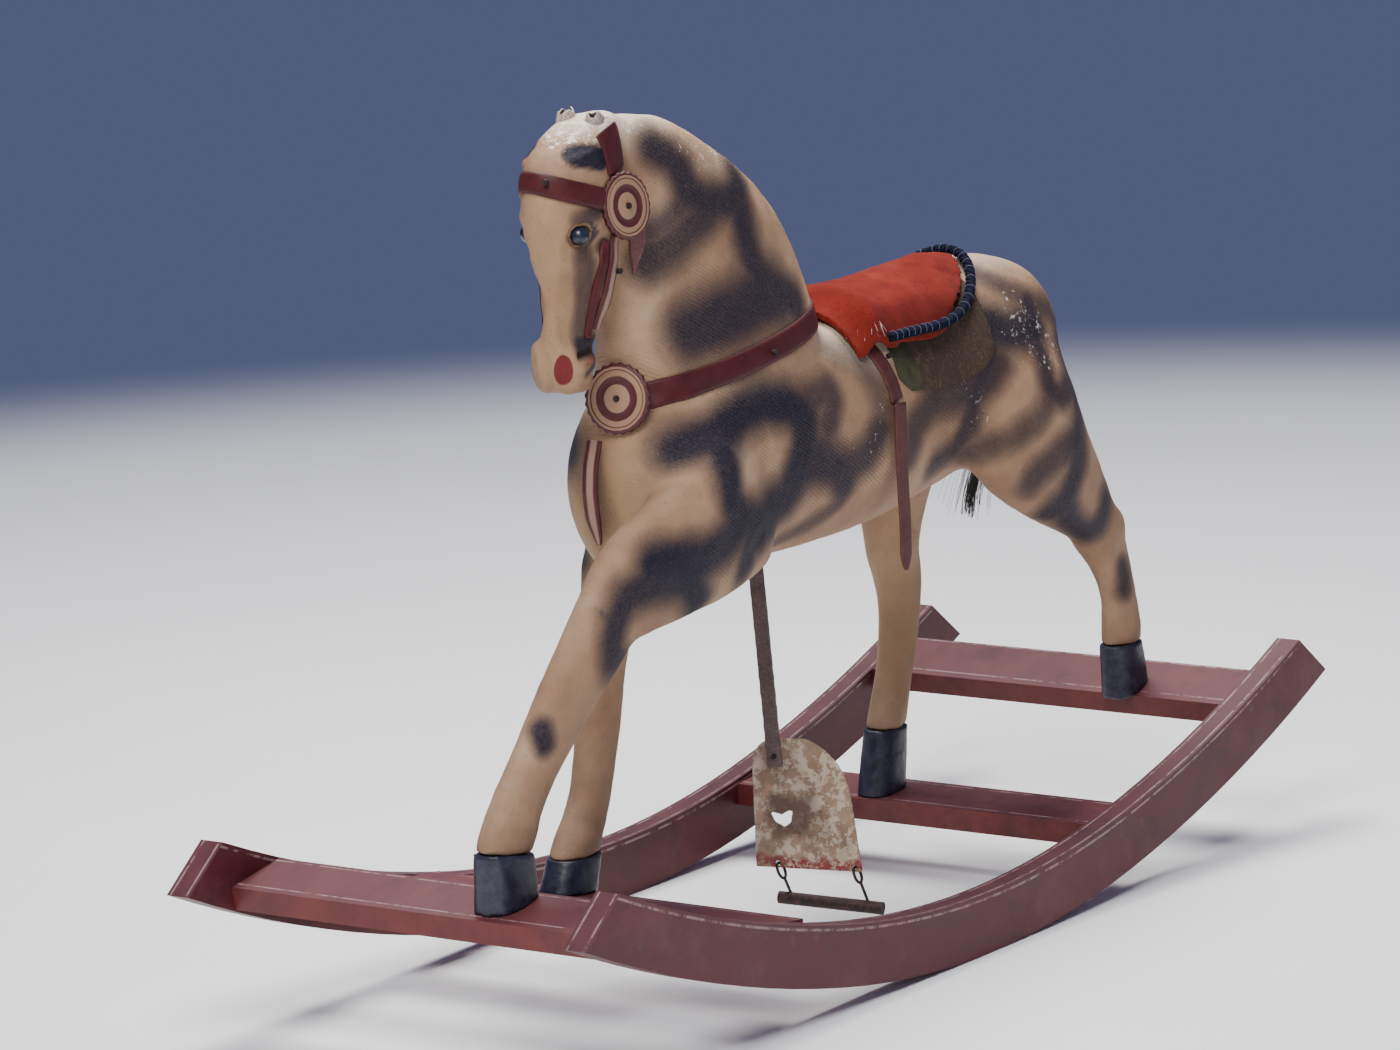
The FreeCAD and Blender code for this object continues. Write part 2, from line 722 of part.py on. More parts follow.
# wire links: where each passes the plate and where it enters the tread
HOLE_UP = 3.4
HOLE_RADIUS = 2.4
EYE_REACH = 6.5
PLATE_X = -inner_loop + 0.05 + plate_thick / 2
TREAD_MIDDLE = Vector(PLATE_X, -52.7, -280)
TREAD_TILT = 2.9
LINKS = {"stirrup_link_far": (-8, -20), "stirrup_link_near": (-74.5, -86.5)}
hole_z = PLATE_BOTTOM + HOLE_UP

tread = doc.addObject("Part::Cylinder", "stirrup_tread")
bind(tread, Radius="Dims.tread_radius", Height="Dims.tread_length")
lying = Rotation(Vector(1, 0, 0), -90 + TREAD_TILT)
tread.Placement = hanger.multiply(
    Placement(TREAD_MIDDLE - lying.multVec(Vector(0, 0, size("tread_length") / 2)), lying))
keep("stirrup_tread", tread)

drills = []
for name, (hole_y, tread_y) in LINKS.items():
    drop = (tread_y - TREAD_MIDDLE.y) * math.tan(math.radians(TREAD_TILT))
    seat = Vector(PLATE_X, tread_y, TREAD_MIDDLE.z + drop)
    gate = Vector(PLATE_X, hole_y, hole_z)
    run = (seat - gate).normalize()
    eye = doc.addObject("Part::Torus", f"{name}_eye")
    bind(eye, Radius2="Dims.link_radius")
    eye.Radius1 = EYE_REACH
    across = Rotation(Vector(1, 0, 0), 90 + math.degrees(math.atan2(run.y, -run.z)))
    eye.Placement = hanger.multiply(Placement(gate + run * EYE_REACH, across))
    shank = rod(f"{name}_shank", gate + run * (2 * EYE_REACH), seat, "Dims.link_radius")
    keep(name, cut(name, joined(f"{name}_wire", eye, shank), tread))
    drill = doc.addObject("Part::Cylinder", f"{name}_drill")
    drill.Radius, drill.Height = HOLE_RADIUS, plate_thick + 4
    drill.Placement = hanger.multiply(Placement(gate - Vector(plate_thick / 2 + 2, 0, 0),
                                                Rotation(Vector(0, 1, 0), 90)))
    drills.append(drill)
keep("stirrup_plate", cut("stirrup_plate", plate_block, *drills))

RIVET_THICK = 1.5
rivet_at = leaning.multVec(Vector(-outer_loop - RIVET_THICK, 0, -STRAP_DROP + 9))
rivet = doc.addObject("Part::Cylinder", "stirrup_rivet")
bind(rivet, Radius="Dims.nail_radius")
rivet.Height = RIVET_THICK
rivet.Placement = Placement(rivet_at, hanger.Rotation.multiply(Rotation(Vector(0, 1, 0), 90)))
keep("stirrup_rivet", rivet)

# ---------------------------------------------------------------- tail
TAIL_ROOT = Vector(352, 0, 437)
TAIL_PLUG_LENGTH = 20
plug = doc.addObject("Part::Cylinder", "tail_plug_rod")
bind(plug, Radius="Dims.tail_plug_radius")
plug.Height = TAIL_PLUG_LENGTH
plug.Placement = Placement(TAIL_ROOT + Vector(0, OFFSET, 0), Rotation(Vector(0, 1, 0), 90))
keep("tail_plug", cut("tail_plug", plug, trunk_block))
# the hair falls beside the far thigh: x, y, z, pitch, half depth, half width
TAIL = [
    (380, 3, 440, 0, 5, 6),
    (381, 12, 420, 0, 10, 10),
    (380, 34, 380, 0, 12, 13),
    (380, 58, 335, 0, 11, 14),
    (380, 72, 290, 0, 7, 10),
    (380, 76, 268, 0, 3, 4),
]
keep("tail_hair", carved("tail_hair", TAIL))

# ---------------------------------------------------------------- nails, pegs and screws
NAILS = {
    "browband": ((-318, -12, 656), (-1, -0.45, 0)),
    "cheek": ((-256, -29.5, 580), (-0.1, -1, 0)),
    "cheek_far": ((-256, 29.5, 580), (-0.1, 1, 0)),
    "strap": ((65, -59, 466), (0, -1, 0.4)),
    "collar": ((-95, -58.5, 494), (0, -1, 0)),
}
heads = [cut(f"nail_{name}", disc(f"nail_{name}_head", "Dims.nail_radius", 4, centre, direction),
             head_skin if "cheek" in name or name == "browband" else neck_skin, trunk_skin)
         for name, (centre, direction) in NAILS.items()]
keep("harness_nails", joined("harness_nails", *heads))

PEG_SPREAD = 16
pegs = []
for name in SLATS:
    for side in (-1, 1):
        for shift in (-PEG_SPREAD, PEG_SPREAD):
            peg = doc.addObject("Part::Cylinder", f"peg_{name}_{side}_{shift}")
            bind(peg, Radius="Dims.dowel_radius", Height="Dims.dowel_length")
            face = side * size("overall_width") / 2
            peg.Placement = slat_placement(name).multiply(
                Placement(Vector(shift, face, -size("slat_thick") / 2), Rotation(Vector(1, 0, 0), side * 90)))
            pegs.append(peg)
all_pegs = keep("slat_pegs", joined("slat_pegs", *pegs))
for name in ("rocker_left", "rocker_right"):
    keep(name, cut(name, nodes[name], all_pegs))

screws = []
for leg, (slat, x, y, scale) in HOOVES.items():
    screw = doc.addObject("Part::Cylinder", f"screw_{leg}")
    bind(screw, Radius="Dims.screw_radius", Height="Dims.screw_length")
    shift = (x - SLATS[slat][0]) / math.cos(math.radians(SLATS[slat][2]))
    screw.Placement = slat_placement(slat).multiply(
        Placement(Vector(shift, y + OFFSET, -size("slat_thick")), Rotation()))
    screws.append(screw)
all_screws = keep("hoof_screws", joined("hoof_screws", *screws))
for leg in HOOVES:
    name = f"hoof_{leg[4:]}"
    keep(name, cut(name, nodes[name], all_screws))
for name in SLATS:
    keep(name, cut(name, nodes[name], all_pegs, all_screws))

# ---------------------------------------------------------------- write the nodes
doc.recompute()
os.makedirs("parts", exist_ok=True)
for name, feature in nodes.items():
    if "Invalid" in feature.State or "Error" in feature.State:
        raise RuntimeError(f"{name} failed to recompute: {feature.State}")
    shape = feature.Shape
    if shape.isNull() or not shape.isValid():
        raise RuntimeError(f"{name} has no valid shape")
    shape.exportStep(os.path.join("parts", f"{name}.step"))
print(f"{len(nodes)} nodes written")
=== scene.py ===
"""A worn dapple rocking horse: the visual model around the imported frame, in metres."""
import math
import random

import bmesh
import bpy
import numpy as np
from mathutils import Matrix, Vector, noise
from mathutils.bvhtree import BVHTree


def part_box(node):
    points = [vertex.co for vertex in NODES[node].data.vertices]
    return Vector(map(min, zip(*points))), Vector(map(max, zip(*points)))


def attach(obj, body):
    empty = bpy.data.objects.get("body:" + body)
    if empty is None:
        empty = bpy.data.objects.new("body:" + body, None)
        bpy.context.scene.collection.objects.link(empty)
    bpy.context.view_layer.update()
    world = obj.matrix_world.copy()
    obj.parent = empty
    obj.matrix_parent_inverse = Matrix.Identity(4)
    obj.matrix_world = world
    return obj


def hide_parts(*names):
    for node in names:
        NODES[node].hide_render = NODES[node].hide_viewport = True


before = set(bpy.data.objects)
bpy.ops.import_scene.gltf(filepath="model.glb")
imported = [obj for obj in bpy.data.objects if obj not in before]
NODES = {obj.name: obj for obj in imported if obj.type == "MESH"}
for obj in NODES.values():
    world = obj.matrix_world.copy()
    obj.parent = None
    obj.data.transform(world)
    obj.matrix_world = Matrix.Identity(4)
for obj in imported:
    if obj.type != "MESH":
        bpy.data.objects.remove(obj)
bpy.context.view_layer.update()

MM = 0.001
PLANE_Y = -16.0
LEFT, RIGHT = -1, 1


# ---------------------------------------------------------------- small helpers
def from_horse(x, y, z):
    """Millimetres in the horse's own frame to a point in metres."""
    return Vector((x * MM, (y + PLANE_Y) * MM, z * MM))


def new_object(name, vertices, faces, smooth=True):
    """A mesh object from vertices in metres and faces."""
    mesh = bpy.data.meshes.new(name)
    mesh.from_pydata([tuple(v) for v in vertices], [], faces)
    mesh.update()
    obj = bpy.data.objects.new(name, mesh)
    bpy.context.scene.collection.objects.link(obj)
    for polygon in mesh.polygons:
        polygon.use_smooth = smooth
    return obj


def apply_modifiers(obj):
    """Bakes an object's modifiers into its mesh."""
    graph = bpy.context.evaluated_depsgraph_get()
    mesh = bpy.data.meshes.new_from_object(obj.evaluated_get(graph))
    obj.modifiers.clear()
    old = obj.data
    obj.data = mesh
    bpy.data.meshes.remove(old)
    for polygon in mesh.polygons:
        polygon.use_smooth = True
    return obj


def joined_nodes(name, node_names):
    """A new object with copies of the meshes of several CAD nodes."""
    cloud = bmesh.new()
    for node in node_names:
        cloud.from_mesh(NODES[node].data)
    mesh = bpy.data.meshes.new(name)
    cloud.to_mesh(mesh)
    cloud.free()
    obj = bpy.data.objects.new(name, mesh)
    bpy.context.scene.collection.objects.link(obj)
    return obj


def remeshed(obj, voxel, rounds, factor=0.5):
    """Welds an object's solids into one even skin and smooths it."""
    remesh = obj.modifiers.new("weld", "REMESH")
    remesh.mode = "VOXEL"
    remesh.voxel_size = voxel
    smooth = obj.modifiers.new("smooth", "SMOOTH")
    smooth.factor = factor
    smooth.iterations = rounds
    return apply_modifiers(obj)


def read_points(mesh, what="co"):
    """Vertex positions or normals as an array in metres."""
    values = np.empty(len(mesh.vertices) * 3)
    if what == "co":
        mesh.vertices.foreach_get("co", values)
    else:
        mesh.vertices.foreach_get("normal", values)
    return values.reshape(-1, 3)


def write_points(mesh, points):
    """Moves the vertices to new positions."""
    mesh.vertices.foreach_set("co", points.reshape(-1))
    mesh.update()


def write_attribute(mesh, name, values):
    """A number on every vertex."""
    layer = mesh.attributes.new(name, "FLOAT", "POINT")
    layer.data.foreach_set("value", np.asarray(values, dtype=np.float32))


def to_line(points, line):
    """Distance from each point to a polyline, all in millimetres."""
    best = np.full(len(points), 1e9)
    for start, end in zip(line, line[1:]):
        a = np.array(start, dtype=float)
        run = np.array(end, dtype=float) - a
        t = np.clip(((points - a) @ run) / max(run @ run, 1e-9), 0, 1)
        best = np.minimum(best, np.linalg.norm(points - (a + t[:, None] * run), axis=1))
    return best


def soft(distance, inner, outer):
    """1 nearer than inner, 0 beyond outer, with a smooth step between."""
    t = np.clip((outer - distance) / (outer - inner), 0, 1)
    return t * t * (3 - 2 * t)


def wobble(points, size, seed=0.0):
    """Smooth noise about 0 at points given in millimetres."""
    shift = Vector((seed, seed * 1.7, -seed))
    return np.array([noise.noise(Vector(p) / size + shift) for p in points])


# ---------------------------------------------------------------- materials
class Shade:
    """Builds one procedural material."""

    def __init__(self, name, roughness=0.6):
        self.material = bpy.data.materials.new(name)
        self.material.use_nodes = True
        self.tree = self.material.node_tree
        self.shader = self.tree.nodes["Principled BSDF"]
        self.shader.inputs["Roughness"].default_value = roughness
        self.place = self.node("ShaderNodeNewGeometry").outputs["Position"]

    def node(self, kind, **settings):
        made = self.tree.nodes.new(kind)
        for key, value in settings.items():
            setattr(made, key, value)
        return made

    def link(self, value, socket):
        """Puts a number, colour or output into a socket."""
        if isinstance(value, bpy.types.NodeSocket):
            self.tree.links.new(value, socket)
        else:
            socket.default_value = value

    def math(self, kind, a, b=0.0, clamp=False):
        made = self.node("ShaderNodeMath", operation=kind, use_clamp=clamp)
        self.link(a, made.inputs[0])
        self.link(b, made.inputs[1])
        return made.outputs[0]

    def noise(self, scale, detail=4.0, rough=0.55, where=None, distortion=0.0):
        made = self.node("ShaderNodeTexNoise")
        made.inputs["Scale"].default_value = scale
        made.inputs["Detail"].default_value = detail
        made.inputs["Roughness"].default_value = rough
        made.inputs["Distortion"].default_value = distortion
        self.link(self.place if where is None else where, made.inputs["Vector"])
        return made.outputs["Fac"]

    def cells(self, scale, feature="F1", where=None):
        made = self.node("ShaderNodeTexVoronoi", feature=feature)
        made.inputs["Scale"].default_value = scale
        self.link(self.place if where is None else where, made.inputs["Vector"])
        return made.outputs["Distance"]

    def bands(self, scale, direction="X", distortion=0.0, where=None, detail=2.0, detail_scale=1.0):
        made = self.node("ShaderNodeTexWave", wave_type="BANDS", bands_direction=direction)
        made.inputs["Scale"].default_value = scale
        made.inputs["Distortion"].default_value = distortion
        made.inputs["Detail"].default_value = detail
        made.inputs["Detail Scale"].default_value = detail_scale
        self.link(self.place if where is None else where, made.inputs["Vector"])
        return made.outputs["Fac"]

    def turned(self, scale=(1, 1, 1), angles=(0, 0, 0)):
        made = self.node("ShaderNodeMapping")
        made.inputs["Scale"].default_value = scale
        made.inputs["Rotation"].default_value = [math.radians(a) for a in angles]
        self.link(self.place, made.inputs["Vector"])
        return made.outputs[0]

    def step(self, value, low, high):
        """0 below low, 1 above high, smooth between."""
        made = self.node("ShaderNodeMapRange", interpolation_type="SMOOTHSTEP")
        self.link(value, made.inputs["Value"])
        made.inputs["From Min"].default_value = low
        made.inputs["From Max"].default_value = high
        return made.outputs["Result"]

    def ramp(self, value, *stops):
        made = self.node("ShaderNodeValToRGB")
        ramp = made.color_ramp
        while len(ramp.elements) < len(stops):
            ramp.elements.new(0.5)
        for element, (position, colour) in zip(ramp.elements, stops):
            element.position = position
            element.color = (*colour, 1)
        self.link(value, made.inputs["Fac"])
        return made.outputs["Color"]

    def mix(self, factor, first, second, kind="MIX"):
        made = self.node("ShaderNodeMix", data_type="RGBA", blend_type=kind)
        self.link(factor, made.inputs["Factor"])
        for value, socket in ((first, made.inputs[6]), (second, made.inputs[7])):
            if isinstance(value, tuple):
                value = (*value, 1)
            self.link(value, socket)
        return made.outputs[2]

    def attribute(self, name):
        return self.node("ShaderNodeAttribute", attribute_name=name).outputs["Fac"]

    def split(self, vector):
        made = self.node("ShaderNodeSeparateXYZ")
        self.link(vector, made.inputs[0])
        return made.outputs

    def facing(self):
        return self.split(self.node("ShaderNodeNewGeometry").outputs["Normal"])

    def bump(self, *layers):
        """Layers of (height, strength, distance in metres)."""
        normal = None
        for height, strength, distance in layers:
            made = self.node("ShaderNodeBump")
            made.inputs["Strength"].default_value = strength
            made.inputs["Distance"].default_value = distance
            self.link(height, made.inputs["Height"])
            if normal is not None:
                self.link(normal, made.inputs["Normal"])
            normal = made.outputs["Normal"]
        self.link(normal, self.shader.inputs["Normal"])

    def colour(self, value):
        self.link(value if not isinstance(value, tuple) else (*value, 1), self.shader.inputs["Base Color"])

    def rough(self, value):
        self.link(value, self.shader.inputs["Roughness"])

    def set(self, **values):
        for key, value in values.items():
            self.shader.inputs[key.replace("_", " ")].default_value = value
        return self


def cover(obj, material):
    """Gives an object one material, on its object's slots."""
    if not obj.data.materials:
        obj.data.materials.append(material)
    for place in obj.material_slots:
        place.link = "OBJECT"
        place.material = material


NOSTRILS = ((-0.3085, -0.0290, 0.510), (-0.3000, 0.0005, 0.508))
NOSTRIL_REACH = (0.0062, 0.0085, 0.0125)


def nostrils(shade):
    """1 inside the two painted nostrils."""
    inside = 0.0
    for centre in NOSTRILS:
        total = 0.0
        for value, middle, reach in zip(shade.split(shade.place), centre, NOSTRIL_REACH):
            share = shade.math("DIVIDE", shade.math("SUBTRACT", value, middle), reach)
            total = shade.math("ADD", shade.math("MULTIPLY", share, share), total)
        inside = shade.math("ADD", shade.math("SUBTRACT", 1.0, shade.step(total, 0.85, 1.1)), inside, True)
    return inside


def horse_paint():
    """Cream paint over gesso, with soft blue-black dapples, comb marks, chips, dirt, painted shade and shadow, and a
    painted highlight.
    """
    shade = Shade("horse_paint", 0.5)
    tone = shade.noise(9, 5, 0.6)
    base = shade.ramp(tone, (0.3, (0.225, 0.118, 0.062)), (0.52, (0.36, 0.215, 0.122)), (0.72, (0.50, 0.335, 0.205)))
    # lighter where the skin's pale attribute is: paler paint beside the saddle, and a painted highlight on the crest
    # and back
    base = shade.mix(shade.attribute("pale"), base, (0.72, 0.58, 0.42))
    base = shade.mix(shade.attribute("warm"), base, (0.50, 0.31, 0.15))
    comb = shade.bands(105, "X", 3.2, shade.turned(angles=(0, 58, 0)), 3.0, 1.4)
    combed = shade.math("MULTIPLY", comb, shade.attribute("comb"))
    speck = shade.noise(420, 3, 0.7)
    edge = shade.math("ADD", shade.attribute("dark"), shade.math("MULTIPLY", shade.math(
        "SUBTRACT", speck, 0.5), 0.35))
    dark = shade.math("SUBTRACT", edge, shade.math("MULTIPLY", combed, 0.06))
    dark = shade.math("MULTIPLY", dark, shade.step(shade.attribute("dark"), 0.0, 0.35), True)
    tinted = shade.mix(dark, base, (0.0085, 0.0072, 0.0195))
    grime_and_shade = shade.step(shade.noise(60, 6, 0.75), 0.56, 0.74)
    tinted = shade.mix(shade.math("MULTIPLY", grime_and_shade, 0.22), tinted, (0.12, 0.09, 0.075))
    # the skin's dark cracks, with painted shade in the mouth and on the lower legs and a painted shadow under the chest
    # tongue
    tinted = shade.mix(shade.attribute("grime_and_shade"), tinted, (0.045, 0.036, 0.036))
    chip = shade.step(shade.math("ADD", shade.noise(160, 5, 0.8), shade.math(
        "MULTIPLY", shade.attribute("chip"), 0.15)), 0.70, 0.73)
    tinted = shade.mix(shade.math("MULTIPLY", chip, 0.85), tinted, (0.80, 0.75, 0.68))
    tinted = shade.mix(shade.attribute("red"), tinted, (0.20, 0.028, 0.024))
    tinted = shade.mix(nostrils(shade), tinted, shade.ramp(tone, (0.35, (0.12, 0.010, 0.011)), (0.65, (0.19, 0.022, 0.020))))
    fleck = shade.step(shade.noise(330, 3, 0.6), 0.64, 0.70)
    tinted = shade.mix(shade.math("MULTIPLY", fleck, 0.35), tinted, (0.085, 0.055, 0.042))
    shade.colour(tinted)
    shade.set(Specular_IOR_Level=0.28)
    leathery = shade.noise(120, 8, 0.75, None, 0.6)
    facets = shade.cells(26, "SMOOTH_F1")
    shade.rough(shade.math("ADD", 0.46, shade.math("MULTIPLY", tone, 0.25)))
    shade.bump((shade.math("MULTIPLY", combed, shade.step(shade.noise(30, 3), 0.40, 0.62)), 0.4, 0.0010), (speck, 0.15, 0.001), (chip, -0.4, 0.0006), (tone, 0.2, 0.002),
               (leathery, 0.75, 0.0020), (facets, 0.3, 0.003))
    return shade.material


def maroon_paint(name, base, light, stripes):
    """Brushed semi-gloss maroon with rubbed edges and pale lining."""
    shade = Shade(name, 0.35)
    x, y, z = shade.split(shade.place)
    grain = shade.noise(30, 6, 0.7, shade.turned((0.25, 1, 1)))
    colour = shade.ramp(grain, (0.3, base), (0.7, light))
    top = shade.step(shade.facing()[2], 0.55, 0.8)
    dusty = shade.mix(shade.math("MULTIPLY", top, 0.5), colour, (0.090, 0.034, 0.045))
    faded = shade.step(shade.noise(13, 6, 0.7), 0.48, 0.68)
    dusty = shade.mix(shade.math("MULTIPLY", faded, 0.3), dusty, (0.17, 0.055, 0.050))
    sooty = shade.step(shade.noise(7, 7, 0.75), 0.50, 0.70)
    dusty = shade.mix(shade.math("MULTIPLY", sooty, 0.55), dusty, (0.016, 0.005, 0.009))
    rubbed = shade.step(shade.noise(170, 6, 0.8), 0.67, 0.72)
    colour = shade.mix(shade.math("MULTIPLY", rubbed, 0.5), dusty, (0.36, 0.24, 0.23))
    line = stripes(shade, x, y, z, top)
    broken = shade.math("MULTIPLY", line, shade.step(shade.noise(60, 5, 0.75), 0.40, 0.56))
    colour = shade.mix(shade.math("MULTIPLY", broken, 0.65), colour, (0.36, 0.25, 0.24))
    shade.colour(colour)
    shade.rough(shade.math("ADD", 0.38, shade.math("MULTIPLY", grain, 0.25)))
    shade.set(Specular_IOR_Level=0.3)
    shade.bump((grain, 0.15, 0.0015), (rubbed, -0.3, 0.0004))
    return shade.material


def band(shade, value, middle, half):
    """1 where a value is within half of the middle."""
    away = shade.math("ABSOLUTE", shade.math("SUBTRACT", value, middle))
    return shade.math("SUBTRACT", 1.0, shade.step(away, half * 0.7, half * 1.3))


ROCKER_MIDDLE_RADIUS = 1.085
ROCKER_END_RADIUS = 1.535
ROCKER_HALF_SPAN = 0.213
ROCKER_DEEP = 0.049


def rocker_stripes(shade, x, y, z, top):
    """Lining near both edges of the top face and along the top of the sides."""
    away = shade.math("ABSOLUTE", x)
    turn = math.asin(ROCKER_HALF_SPAN / ROCKER_MIDDLE_RADIUS)
    excess = ROCKER_END_RADIUS - ROCKER_MIDDLE_RADIUS
    end_x = -excess * math.sin(turn)
    end_z = ROCKER_MIDDLE_RADIUS + excess * math.cos(turn)

    def depth(centre_x, centre_z, radius):
        dx = shade.math("SUBTRACT", away, centre_x)
        dz = shade.math("SUBTRACT", z, centre_z)
        reach = shade.math("SQRT", shade.math("ADD", shade.math("POWER", dx, 2), shade.math("POWER", dz, 2)))
        return shade.math("SUBTRACT", reach, radius - ROCKER_DEEP)

    middle = depth(0, ROCKER_MIDDLE_RADIUS, ROCKER_MIDDLE_RADIUS)
    outer = depth(end_x, end_z, ROCKER_END_RADIUS)
    past = shade.math("GREATER_THAN", away, ROCKER_HALF_SPAN)
    deep = shade.math("ADD", shade.math("MULTIPLY", past, outer),
                      shade.math("MULTIPLY", shade.math("SUBTRACT", 1, past), middle))
    side = shade.math("MULTIPLY", band(shade, deep, 0.0035, 0.001), shade.math("SUBTRACT", 1, top))
    across = shade.math("ABSOLUTE", y)
    edges = shade.math("ADD", band(shade, across, 0.1815, 0.0009), band(shade, across, 0.1965, 0.0009), True)
    return shade.math("ADD", side, shade.math("MULTIPLY", edges, top), True)


def slat_stripes(middle):
    """Lining near both long edges of a slat whose middle is at that x."""
    def stripes(shade, x, y, z, top):
        away = shade.math("ABSOLUTE", shade.math("SUBTRACT", x, middle))
        return shade.math("MULTIPLY", band(shade, away, 0.0235, 0.0009), top)
    return stripes


def leather(name, base, light, stripe=None):
    """Old cracked leather, with an optional stripe pattern across the attribute side."""
    shade = Shade(name, 0.5)
    tone = shade.noise(70, 6, 0.7)
    colour = shade.ramp(tone, (0.3, base), (0.7, light))
    crackle = shade.cells(260, "DISTANCE_TO_EDGE")
    crack = shade.math("SUBTRACT", 1, shade.step(crackle, 0.02, 0.12))
    colour = shade.mix(shade.math("MULTIPLY", crack, 0.35), colour, (0.03, 0.012, 0.01))
    if stripe:
        away = shade.math("ABSOLUTE", shade.attribute("side"))
        colour = shade.mix(band(shade, away, *stripe[0]), colour, stripe[1])
    scuff = shade.step(shade.noise(190, 5, 0.75), 0.63, 0.72)
    colour = shade.mix(shade.math("MULTIPLY", scuff, 0.25), colour, (0.26, 0.12, 0.10))
    shade.colour(colour)
    shade.set(Specular_IOR_Level=0.3)
    shade.rough(shade.math("ADD", 0.42, shade.math("MULTIPLY", tone, 0.3)))
    shade.bump((crack, -0.25, 0.0005), (tone, 0.3, 0.001))
    return shade.material


def rosette_leather():
    """Rings of dark red and pale leather."""
    shade = Shade("rosette_leather", 0.55)
    ring = shade.attribute("ring")
    dark, pale = (0.070, 0.010, 0.012), (0.31, 0.175, 0.10)
    made = shade.node("ShaderNodeValToRGB")
    made.color_ramp.interpolation = "CONSTANT"
    stops = ((0.0, (0.03, 0.02, 0.02)), (0.10, pale), (0.40, dark), (0.64, pale), (0.80, dark), (0.83, pale),
             (0.90, dark))
    while len(made.color_ramp.elements) < len(stops):
        made.color_ramp.elements.new(0.5)
    for element, (position, colour) in zip(made.color_ramp.elements, stops):
        element.position = position
        element.color = (*colour, 1)
    wander = shade.math("MULTIPLY", shade.math("SUBTRACT", shade.noise(180, 3), 0.5), 0.03)
    shade.link(shade.math("ADD", ring, wander), made.inputs["Fac"])
    worn = shade.step(shade.noise(260, 5, 0.8), 0.58, 0.7)
    shade.colour(shade.mix(shade.math("MULTIPLY", worn, 0.4), made.outputs["Color"], (0.20, 0.12, 0.10)))
    shade.bump((shade.noise(300, 4), 0.4, 0.0006))
    return shade.material


def felt():
    """Orange-red felt, rubbed thin, with painted shade in its creases."""
    shade = Shade("saddle_felt", 0.95)
    fuzz = shade.noise(700, 4, 0.8)
    worn = shade.noise(26, 5, 0.65)
    colour = shade.ramp(worn, (0.32, (0.14, 0.009, 0.006)), (0.55, (0.205, 0.017, 0.010)), (0.75, (0.25, 0.032, 0.016)))
    colour = shade.mix(shade.math("MULTIPLY", shade.step(fuzz, 0.5, 0.8), 0.3), colour, (0.38, 0.075, 0.035))
    scale = shade.noise(230, 5, 0.8)
    colour = shade.mix(shade.math("MULTIPLY", shade.step(scale, 0.52, 0.66), 0.4), colour, (0.10, 0.006, 0.004))
    # painted shade: the felt is coloured darker along its creases
    crease_shade = shade.attribute("crease")
    colour = shade.mix(shade.math("MULTIPLY", crease_shade, 0.8), colour, (0.13, 0.015, 0.012))
    shade.colour(colour)
    shade.set(Sheen_Weight=0.03, Specular_IOR_Level=0.1)
    shade.bump((fuzz, 0.6, 0.0012), (scale, 0.6, 0.0016), (worn, 0.4, 0.004))
    return shade.material


def rope():
    """Dark blue twisted cord."""
    shade = Shade("piping_cord", 0.9)
    fuzz = shade.noise(900, 3, 0.8)
    shade.colour(shade.ramp(fuzz, (0.35, (0.003, 0.0035, 0.010)), (0.7, (0.010, 0.012, 0.032))))
    shade.set(Specular_IOR_Level=0.1)
    shade.bump((fuzz, 0.6, 0.0008))
    return shade.material


def brocade():
    """Worn patterned cloth with a green border at its front."""
    shade = Shade("cloth_brocade", 0.95)
    x = shade.split(shade.place)[0]
    weave = shade.math("MULTIPLY", shade.bands(230, "X", 0.6), shade.bands(230, "Z", 0.6))
    motif = shade.noise(150, 3, 0.6, None, 2.5)
    brown = shade.ramp(motif, (0.35, (0.120, 0.080, 0.052)), (0.5, (0.050, 0.034, 0.025)), (0.65, (0.085, 0.050, 0.040)))
    green = shade.ramp(shade.noise(90, 5), (0.35, (0.040, 0.042, 0.022)), (0.7, (0.080, 0.078, 0.045)))
    border = shade.math("ADD", x, shade.math("MULTIPLY", shade.math("SUBTRACT", shade.noise(40, 4), 0.5), 0.01))
    inside = shade.step(border, 0.1035, 0.1065)
    colour = shade.mix(inside, green, brown)
    dirt = shade.step(shade.noise(24, 6, 0.7), 0.42, 0.66)
    colour = shade.mix(shade.math("MULTIPLY", dirt, 0.4), colour, (0.035, 0.028, 0.026))
    colour = shade.mix(shade.math("MULTIPLY", weave, 0.3), colour, (0.17, 0.13, 0.095))
    shade.colour(colour)
    shade.set(Specular_IOR_Level=0.1)
    shade.bump((weave, 0.5, 0.0007), (motif, 0.3, 0.001))
    return shade.material


def metal(name, base, rust, roughness=0.6):
    """Dark iron with rust bloom."""
    shade = Shade(name, roughness)
    bloom = shade.noise(210, 6, 0.75)
    shade.colour(shade.ramp(bloom, (0.42, base), (0.68, rust)))
    shade.set(Metallic=0.75)
    shade.rough(shade.math("ADD", 0.38, shade.math("MULTIPLY", bloom, 0.4)))
    shade.bump((bloom, 0.5, 0.0006))
    return shade.material


